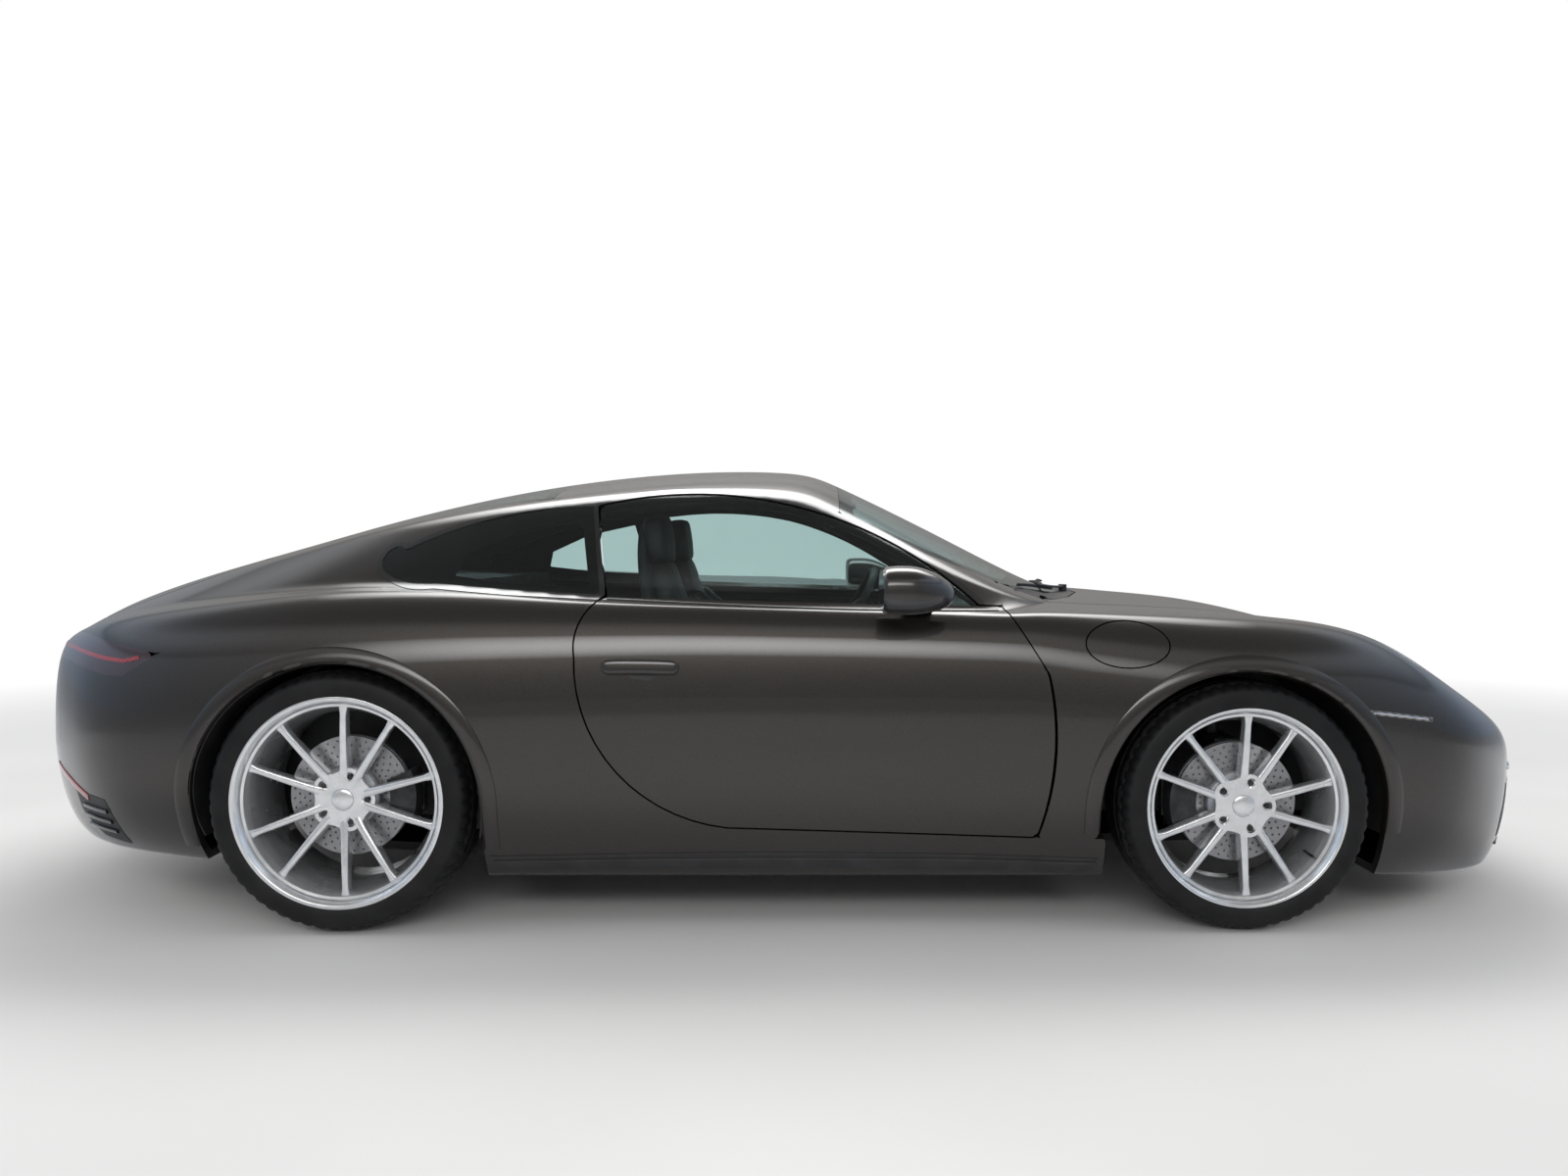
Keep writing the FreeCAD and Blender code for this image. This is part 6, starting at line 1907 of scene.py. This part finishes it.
def cushion(path: Sequence[tuple[float, float]], widths: Sequence[float], thicks: Sequence[float], y: float,
            seams: Sequence[float] = (), channels: Sequence[float] = (), power: float = 3.2,
            steps: int = 48) -> Form:
    """A crowned pad along a path of (x, z): path + w/2 * c * y + t/2 * s * up for each section angle.

    It is drawn in at its ends, at its cross seams and along its channels.

    Args:
        path: knots of (x, z) in metres.
        widths: its width at each knot.
        thicks: its thickness at each knot.
        y: the middle of its width.
        seams: shares of its length where a seam crosses it.
        channels: shares of its half width where a channel runs along it.
        power: how square its section is.
        steps: points round the section.

    Returns:
        The closed form.
    """
    rows = curve_through([(x, z, w, t) for (x, z), w, t in zip(path, widths, thicks)], 14)
    share = np.linspace(-1, 1, len(rows))
    end = (1 - np.abs(share) ** 9) ** (1 / 3.0)
    spots = np.stack([rows[:, 0], np.full(len(rows), y), rows[:, 1]], 1)
    ahead = unit(np.gradient(spots, axis=0))
    up = np.cross(ahead, (0.0, 1.0, 0.0))
    ring = soft_box(2.0, 2.0, steps, power) / 2 * 2
    groove = sum((np.exp(-((share / 2 + 0.5 - seam) / 0.012) ** 2) for seam in seams), np.zeros(len(rows)))
    channel = sum((np.exp(-((np.abs(ring[:, 0]) - place) / 0.035) ** 2) for place in channels),
                  np.zeros(steps))
    wide = rows[:, 2, None] / 2 * end[:, None] * ring[None, :, 0] * (1 - 0.02 * groove[:, None])
    thick = rows[:, 3, None] / 2 * (0.3 + 0.7 * end[:, None]) * ring[None, :, 1]
    thick = thick * (1 - 0.09 * groove[:, None]) * (1 - 0.08 * channel[None, :])
    grid = spots[:, None] + wide[..., None] * np.array([0.0, 1.0, 0.0]) + thick[..., None] * up[:, None]
    return woven(capped(grid), False, True).outward()


def slab(face: Sequence[tuple[float, float]], low: float, high: float) -> Form:
    """A side outline of (x, z) in metres, pushed across the car between two Y."""
    path = np.array([(0.0, low, 0.0), (0.0, high, 0.0)])
    return swept(path, [(x, -z) for x, z in face], (1.0, 0.0, 0.0))


@dataclass
class Cabin:
    """Seats, bench, linings, dashboard details and the steering wheel."""

    finish: Finishes
    work: PanelWork
    seat_y: float = 0.370
    wheel_radius: float = 0.178
    wheel_tilt: float = -66.0

    def seat(self, y: float) -> tuple[list[Form], Form]:
        """A sports seat: squab, backrest, bolsters and built-in headrest; and its shell."""
        back = [(-0.190, 0.395), (-0.245, 0.560), (-0.305, 0.740), (-0.350, 0.890), (-0.378, 1.000)]
        pads = [
            cushion([(-0.215, 0.352), (-0.080, 0.340), (0.080, 0.352), (0.222, 0.368)],
                    (0.30, 0.33, 0.34, 0.30), (0.115, 0.120, 0.125, 0.100), y, (0.34, 0.68), (0.34, 0.72)),
            cushion(back, (0.29, 0.33, 0.35, 0.32, 0.26), (0.105, 0.110, 0.100, 0.090, 0.080), y,
                    (0.3, 0.55, 0.8), (0.38, 0.74)),
            cushion([(-0.372, 0.985), (-0.384, 1.060), (-0.388, 1.140)], (0.26, 0.275, 0.22),
                    (0.078, 0.090, 0.075), y, (), (0.55,)),
        ]
        for sign in (-1, 1):
            pads.append(cushion([(-0.180, 0.372), (-0.040, 0.372), (0.110, 0.384), (0.225, 0.372)],
                                (0.075, 0.085, 0.085, 0.065), (0.125, 0.140, 0.140, 0.100), y + sign * 0.198))
            pads.append(cushion([(-0.180, 0.420), (-0.222, 0.560), (-0.275, 0.730), (-0.335, 0.880)],
                                (0.075, 0.088, 0.085, 0.055), (0.125, 0.150, 0.140, 0.095), y + sign * 0.190))
        shell = cushion([(-0.235, 0.300), (-0.330, 0.560), (-0.382, 0.800), (-0.416, 0.990), (-0.420, 1.120)],
                        (0.44, 0.46, 0.44, 0.32, 0.22), (0.060, 0.060, 0.050, 0.040, 0.034), y, power=4.0)
        base = rounded((0.245, 0.205, 0.045), 5.0, 16).moved((-0.020, y, 0.262))
        rails = [rounded((0.260, 0.016, 0.012), 5.0, 8).moved((-0.020, y + sign * 0.17, 0.229))
                 for sign in (-1, 1)]
        return pads, Form.joined([shell, base, *rails])

    def wheel(self) -> tuple[Form, Form]:
        """The steering wheel: a leather ring with thumb grips, and its boss, spokes and column."""
        turn = np.linspace(0, 2 * np.pi, 96, endpoint=False)
        path = np.stack([self.wheel_radius * np.cos(turn), self.wheel_radius * np.sin(turn), 0 * turn], 1)
        ring = swept(path, soft_box(0.030, 0.027, 20, 2.4), (0.0, 0.0, 1.0), True)
        parts = [rounded((0.060, 0.052, 0.018), 3.0, 20).moved((-0.006, 0.0, -0.006))]
        for degrees in (90, 270):
            arm = np.array([(0.035, 0.0, -0.008), (0.080, 0.0, -0.010), (0.125, 0.0, -0.006),
                            (0.168, 0.0, 0.0)])
            spoke = swept(arm, soft_box(0.012, 0.036, 16, 3.5), (0.0, 0.0, 1.0))
            parts.append(spoke.turned((0, 0, 1), degrees))
        arm = np.array([(0.035, 0.0, -0.008), (0.090, 0.0, -0.010), (0.168, 0.0, 0.0)])
        parts.append(swept(arm, soft_box(0.010, 0.026, 16, 3.5), (0.0, 0.0, 1.0)).turned((0, 0, 1), 180))
        parts.append(rod((0.0, 0.0, -0.015), (0.0, 0.0, -0.268), 0.0178, 32))

        def seated(form: Form) -> Form:
            return form.turned((0, 1, 0), self.wheel_tilt).moved((0.262, self.seat_y, 0.792))

        return seated(ring), seated(Form.joined(parts))

    def dash(self) -> None:
        """The instrument hood, screen, vents, stalks, console parts, pedals and inner mirror."""
        finish = self.finish
        hood = cushion([(0.405, 0.845), (0.480, 0.868), (0.600, 0.858)], (0.34, 0.35, 0.28),
                       (0.034, 0.046, 0.020), self.seat_y, power=3.0)
        pad = cushion([(0.400, 0.828), (0.470, 0.850), (0.640, 0.850)], (1.24, 1.26, 1.20),
                      (0.030, 0.034, 0.020), 0.0, power=5.0)
        lip = [rounded((0.008, 0.120, 0.010), 4.0, 12).moved((0.398, y, 0.782))
               for y in (-0.37, -0.12, 0.12, 0.56)]
        shelf = cushion([(-0.300, 0.478), (-0.180, 0.484), (-0.060, 0.478)], (0.13, 0.14, 0.13),
                        (0.030, 0.036, 0.030), 0.0, power=4.0)
        gate = rounded((0.075, 0.045, 0.008), 5.0, 12).moved((0.130, 0.0, 0.468)).turned((0, 1, 0), -2)
        lever = rounded((0.020, 0.017, 0.026), 3.0, 12).moved((0.120, 0.0, 0.496))
        fascia = Form.joined([hood, pad, shelf])
        fascia.thing("dash_pads", finish.leather, "body", Slot.CABIN)
        Form.joined([*lip, gate]).thing("dash_vents", finish.gloss, "body", Slot.TRIM)
        lever.thing("selector", finish.leather, "body", Slot.CABIN)
        screen = rounded((0.004, 0.130, 0.048), 6.0, 14).turned((0, 1, 0), -14).moved((0.405, 0.0, 0.745))
        dials = [spun([(0.0, 0.004), (0.040, 0.004), (0.043, 0.0), (0.043, -0.010), (0.0, -0.010)], 40)
                 .turned((0, 0, 1), 90).moved((0.398, self.seat_y + y, 0.815))
                 for y in (-0.1, 0, 0.1)]
        screen.thing("dash_screen", finish.gloss, "body", Slot.TRIM)
        Form.joined(dials).thing("dash_dials", finish.steel, "body", Slot.TRIM)
        stalks = []
        for sign in (-1, 1):
            root, tip = (self.seat_y + sign * reach for reach in (0.03, 0.155))
            stalks.append(rod((0.305, root, 0.780), (0.300, tip, 0.800), 0.007))
        pedals = []
        for y, wide in ((0.250, 0.030), (0.340, 0.045)):
            plate = rounded((0.006, wide, 0.045), 5.0, 10).turned((0, 1, 0), -25).moved((0.640, y, 0.330))
            pedals += [plate, rod((0.648, y, 0.360), (0.735, y, 0.560), 0.007)]
        Form.joined(stalks + pedals).thing("stalks_and_pedals", finish.trim, "body", Slot.CABIN)
        mirror = rounded((0.014, 0.118, 0.032), 3.6, 18).turned((0, 1, 0), 8).moved((0.175, 0.0, 1.140))
        stem = rod((0.185, 0.0, 1.150), (0.245, 0.0, 1.185), 0.008)
        Form.joined([mirror, stem]).thing("inner_mirror", finish.trim, "body", Slot.CABIN)

    def linings(self) -> None:
        """The headlining, pillar trims, door cards, side cards and carpet."""
        finish, work = self.finish, self.work
        roof = work.cut(ROOF_PLAN.upper, 0.010, True, -0.0225)
        roof.thing("headlining", finish.lining, "body", Slot.CABIN)
        rail = work.cut(lambda p: least(work.fixed_side(p), p[:, 2] - 0.915, p[:, 0] + 1.50, 0.62 - p[:, 0]),
                        0.006, False, -0.0305)
        card = work.cut(lambda p: least(DOOR_FACE.side(p) - 0.020, p[:, 2] - 0.300), 0.026, False, -0.041)
        side_card = work.cut(lambda p: least(p[:, 0] + 0.925, -0.500 - p[:, 0], 0.895 - p[:, 2],
                                             p[:, 2] - 0.230),
                             0.010, False, -0.085)
        rest = cushion([(-0.36, 0.640), (-0.15, 0.650), (0.12, 0.665), (0.34, 0.700)],
                       (0.070, 0.080, 0.080, 0.060), (0.048, 0.052, 0.052, 0.048), 0.772, power=3.0)
        pull = swept(curve_through([(0.330, 0.752, 0.700), (0.352, 0.736, 0.750), (0.340, 0.752, 0.806)], 8),
                     ring_profile(0.012, 14), (0.0, 1.0, 0.0))
        for side in Side:
            word = side.word
            rail.on(side).thing(f"pillar_trim_{word}", finish.cabin, "body", Slot.CABIN)
            card.on(side).thing(f"door_card_{word}", finish.cabin, f"door_{word}", Slot.CABIN)
            side_card.on(side).thing(f"rear_side_card_{word}", finish.cabin, "body", Slot.CABIN)
            Form.joined([rest, pull]).on(side).thing(f"door_armrest_{word}", finish.leather, f"door_{word}",
                                                     Slot.LEATHER)
        slab([(-0.920, 0.216), (0.752, 0.216), (0.752, 0.224), (-0.920, 0.224)], -0.675, 0.675).thing(
            "cabin_carpet", finish.carpet, "body", Slot.CABIN)

    def build(self) -> None:
        """Makes everything in the cabin."""
        finish = self.finish
        for side in Side:
            word, y = side.word, self.seat_y * side.value
            pads, shell = self.seat(y)
            shell.thing(f"seat_shell_{word}", finish.cabin, "body", Slot.CABIN, [f"seat_{word}"])
            for number, pad in enumerate(pads):
                piece = pad.thing(f"seat_pad_{word}_{number}", finish.leather, "body", Slot.LEATHER)
        base = slab([(-0.515, 0.216), (-0.515, 0.405), (-0.800, 0.380), (-0.865, 0.740), (-0.925, 0.740),
                     (-0.925, 0.216)], -0.535, 0.535)
        base.thing("bench_base", finish.cabin, "body", Slot.CABIN, ["rear_bench"])
        for number, y in enumerate((-0.275, 0.275)):
            squab = cushion([(-0.800, 0.420), (-0.660, 0.436), (-0.515, 0.438)], (0.40, 0.42, 0.40),
                            (0.070, 0.080, 0.070), y, (0.5,), (0.62,))
            back = cushion([(-0.808, 0.455), (-0.855, 0.620), (-0.884, 0.785)], (0.38, 0.42, 0.36),
                           (0.060, 0.070, 0.050), y, (0.5,), (0.62,))
            for word, pad in (("squab", squab), ("back", back)):
                pad.thing(f"bench_{word}_{number}", finish.leather, "body", Slot.LEATHER)
        ring, boss = self.wheel()
        ring.thing("steering_ring", finish.leather, "steering_wheel", Slot.CABIN, ["steering_wheel"])
        boss.thing("steering_boss", finish.trim, "steering_wheel", Slot.CABIN)
        self.dash()
        self.linings()


# The studio


@dataclass
class Studio:
    """The floor, the soft lights and the camera."""

    camera_place: tuple[float, float, float] = (0.009, -4.18, 1.058)
    camera_pitch: float = 87.86
    lens: float = 28.28
    shift: float = -0.00125
    far_wall: tuple[float, float, float, float] = (0.42, 0.41, 0.40, 1)
    end_wall: tuple[float, float, float, float] = (0.60, 0.74, 0.95, 1)
    end_share: tuple[float, float] = (0.45, 0.95)
    levels: tuple[tuple[float, float], ...] = ((0.0, 0.55), (0.42, 1.0), (0.47, 0.55), (0.62, 1.5),
                                               (0.70, 1.5), (0.80, 0.5))
    soft: tuple[float, float, float, float] = (0.96, 0.98, 1.0, 1)
    soft_level: float = 0.55
    white: tuple[float, float, float, float] = (1, 1, 1, 1)
    lamp_peak: float = 36.0

    def build(self) -> None:
        """Makes the studio."""
        self.floor()
        self.world()
        self.lights()
        self.camera()

    def floor(self) -> None:
        """A pale floor that fades into the white of the background with distance from the car."""
        nodes = Nodes("studio_floor")
        far = nodes.add("ShaderNodeVectorMath", {0: nodes.place}, operation="LENGTH").outputs["Value"]
        pale = nodes.ramp(nodes.noise(0.8, 2.0), (0.74, 0.73, 0.72), (0.78, 0.77, 0.76))
        nodes.set(Base_Color=pale, Roughness=0.55)
        glow = nodes.add("ShaderNodeEmission", {"Color": self.white, "Strength": 1.0}).outputs[0]
        fade = nodes.span(far, 3.2, 7.5, 0.0, 1.0)
        seen = nodes.add("ShaderNodeLightPath").outputs["Is Camera Ray"]
        mix = nodes.either(nodes.math("MULTIPLY", fade, seen), nodes.shader.outputs[0], glow)
        nodes.put(nodes.tree.nodes["Material Output"].inputs["Surface"], mix)
        reach = 30.0
        grid = np.array([[(x, y, 0.0) for y in (-reach, reach)] for x in (-reach, reach)])
        sheet = woven(grid)
        mesh = bpy.data.meshes.new("studio_floor")
        mesh.from_pydata(sheet.points.tolist(), [], sheet.faces.tolist())
        mesh.materials.append(nodes.material)
        floor = bpy.data.objects.new("studio_floor", mesh)
        bpy.context.scene.collection.objects.link(floor)

    def world(self) -> None:
        """The background: white to the camera and through glass, even light, and a room in reflections.

        The room has a dim far wall, bluer end walls and a bright band in its ceiling.
        """
        world = bpy.data.worlds.new("studio")
        bpy.context.scene.world = world
        world.use_nodes = True
        tree = Tree(world.node_tree)
        soft = tree.tree.nodes["Background"]
        tree.put(soft.inputs["Color"], self.soft)
        tree.put(soft.inputs["Strength"], self.soft_level)
        white = tree.add("ShaderNodeBackground", {"Color": self.white, "Strength": 1.0}).outputs[0]
        place = tree.add("ShaderNodeTexCoord").outputs["Generated"]
        apart = tree.add("ShaderNodeSeparateXYZ", {0: place}).outputs
        ramp = tree.add("ShaderNodeValToRGB", {0: apart["Z"]})
        stops = ramp.color_ramp.elements
        for number, (position, level) in enumerate(self.levels):
            stop = stops[number] if number < 2 else stops.new(position)
            stop.position, stop.color = position, (level, level, level, 1)
        ends = tree.span(tree.math("ABSOLUTE", apart["X"]), *self.end_share, 0.0, 1.0)
        wall = tree.tint("MIX", ends, self.far_wall, self.end_wall)
        colour = tree.tint("MULTIPLY", 1.0, wall, ramp.outputs[0])
        room = tree.add("ShaderNodeBackground", {"Color": colour}).outputs[0]
        path = tree.add("ShaderNodeLightPath").outputs
        bounces = tree.math("ADD", path["Glossy Depth"], path["Diffuse Depth"])
        through = tree.math("MULTIPLY", tree.math("LESS_THAN", bounces, 0.5), path["Is Transmission Ray"])
        seen = tree.either(path["Glossy Depth"], soft.outputs[0], room)
        seen = tree.either(path["Is Camera Ray"], tree.either(through, seen, white), white)
        tree.put(tree.tree.nodes["World Output"].inputs["Surface"], seen)

    def lights(self) -> None:
        """A long soft lamp overhead, one from the near side, two at the ends that reflections don't show."""
        for name, place, aim, size, power in (
                ("overhead", (0.0, 1.8, 4.2), (0.0, 0.0, 0.5), (6.5, 2.4), 170.0),
                ("near_side", (-0.5, -6.5, 3.4), (0.0, 0.0, 0.6), (7.0, 2.0), 120.0),
                ("nose_end", (6.0, -1.0, 2.6), (1.5, 0.0, 0.6), (3.0, 2.4), 60.0),
                ("tail_end", (-6.0, -1.0, 2.6), (-1.5, 0.0, 0.6), (3.0, 2.4), 60.0)):
            lamp = bpy.data.lights.new(name, "AREA")
            lamp.shape = "RECTANGLE"
            lamp.size, lamp.size_y = size
            lamp.energy = power
            self.soften(lamp)
            thing = bpy.data.objects.new(name, lamp)
            bpy.context.scene.collection.objects.link(thing)
            thing.visible_glossy = not name.endswith("_end")
            ahead = unit(np.subtract(aim, place))
            side = unit(np.cross(ahead, (0, 0, 1)))
            up = np.cross(side, ahead)
            matrix = np.eye(4)
            matrix[:3, 0], matrix[:3, 1], matrix[:3, 2], matrix[:3, 3] = side, up, -ahead, place
            thing.matrix_world = matrix.T.tolist()

    def soften(self, lamp: bpy.types.AreaLight) -> None:
        """Fades a lamp to its edges: the product of two parabolas across its face."""
        lamp.use_nodes = True
        tree = Tree(lamp.node_tree)
        spot = tree.add("ShaderNodeNewGeometry").outputs["Parametric"]
        apart = tree.add("ShaderNodeSeparateXYZ", {0: spot}).outputs
        hills = [tree.math("MULTIPLY", apart[axis], tree.math("SUBTRACT", 1.0, apart[axis])) for axis in "XY"]
        level = tree.math("MULTIPLY", tree.math("MULTIPLY", *hills), self.lamp_peak)
        tree.put(lamp.node_tree.nodes["Emission"].inputs["Strength"], level)

    def camera(self) -> None:
        """The camera at the photograph's place, level with the roof and looking slightly down."""
        lens = bpy.data.cameras.new("camera")
        lens.lens = self.lens
        lens.sensor_width = 36.0
        lens.shift_x = self.shift
        camera = bpy.data.objects.new("camera", lens)
        camera.location = self.camera_place
        camera.rotation_euler = (math.radians(self.camera_pitch), 0, 0)
        bpy.context.scene.collection.objects.link(camera)
        bpy.context.scene.camera = camera


def main() -> None:
    """Builds the car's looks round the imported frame, in order, and the studio."""
    logging.basicConfig(level=logging.INFO, format="%(message)s")
    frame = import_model()
    bpy.context.scene.view_settings.view_transform = "Standard"
    finish = Finishes()
    skin = Skin()
    dress = {"body_paint": finish.paint, "black_trim": finish.trim, "glass": finish.glass,
             "lamp_clear": finish.lens, "lamp_red": finish.red, "rim_silver": finish.rim, "tyre": finish.tyre,
             "disc_iron": finish.iron_front, "running_gear": finish.gear, "engine": finish.cast,
             "seat_leather": finish.leather, "cabin_trim": finish.cabin}
    for node, thing in frame["nodes"].items():
        for slot in thing.material_slots:
            slot.material = dress[slot.material.name.split(".")[0]]
        if node.startswith("brake_disc_rear"):
            thing.material_slots[0].material = finish.iron_rear
    work = PanelWork(skin, finish)
    work.build()
    Wheels(finish).build()
    Seals(skin, finish, work).build()
    Fittings(skin, finish).build()
    Lamps(skin, finish, work).build()
    Cabin(finish, work).build()
    Studio().build()


if __name__ == "__main__":
    main()
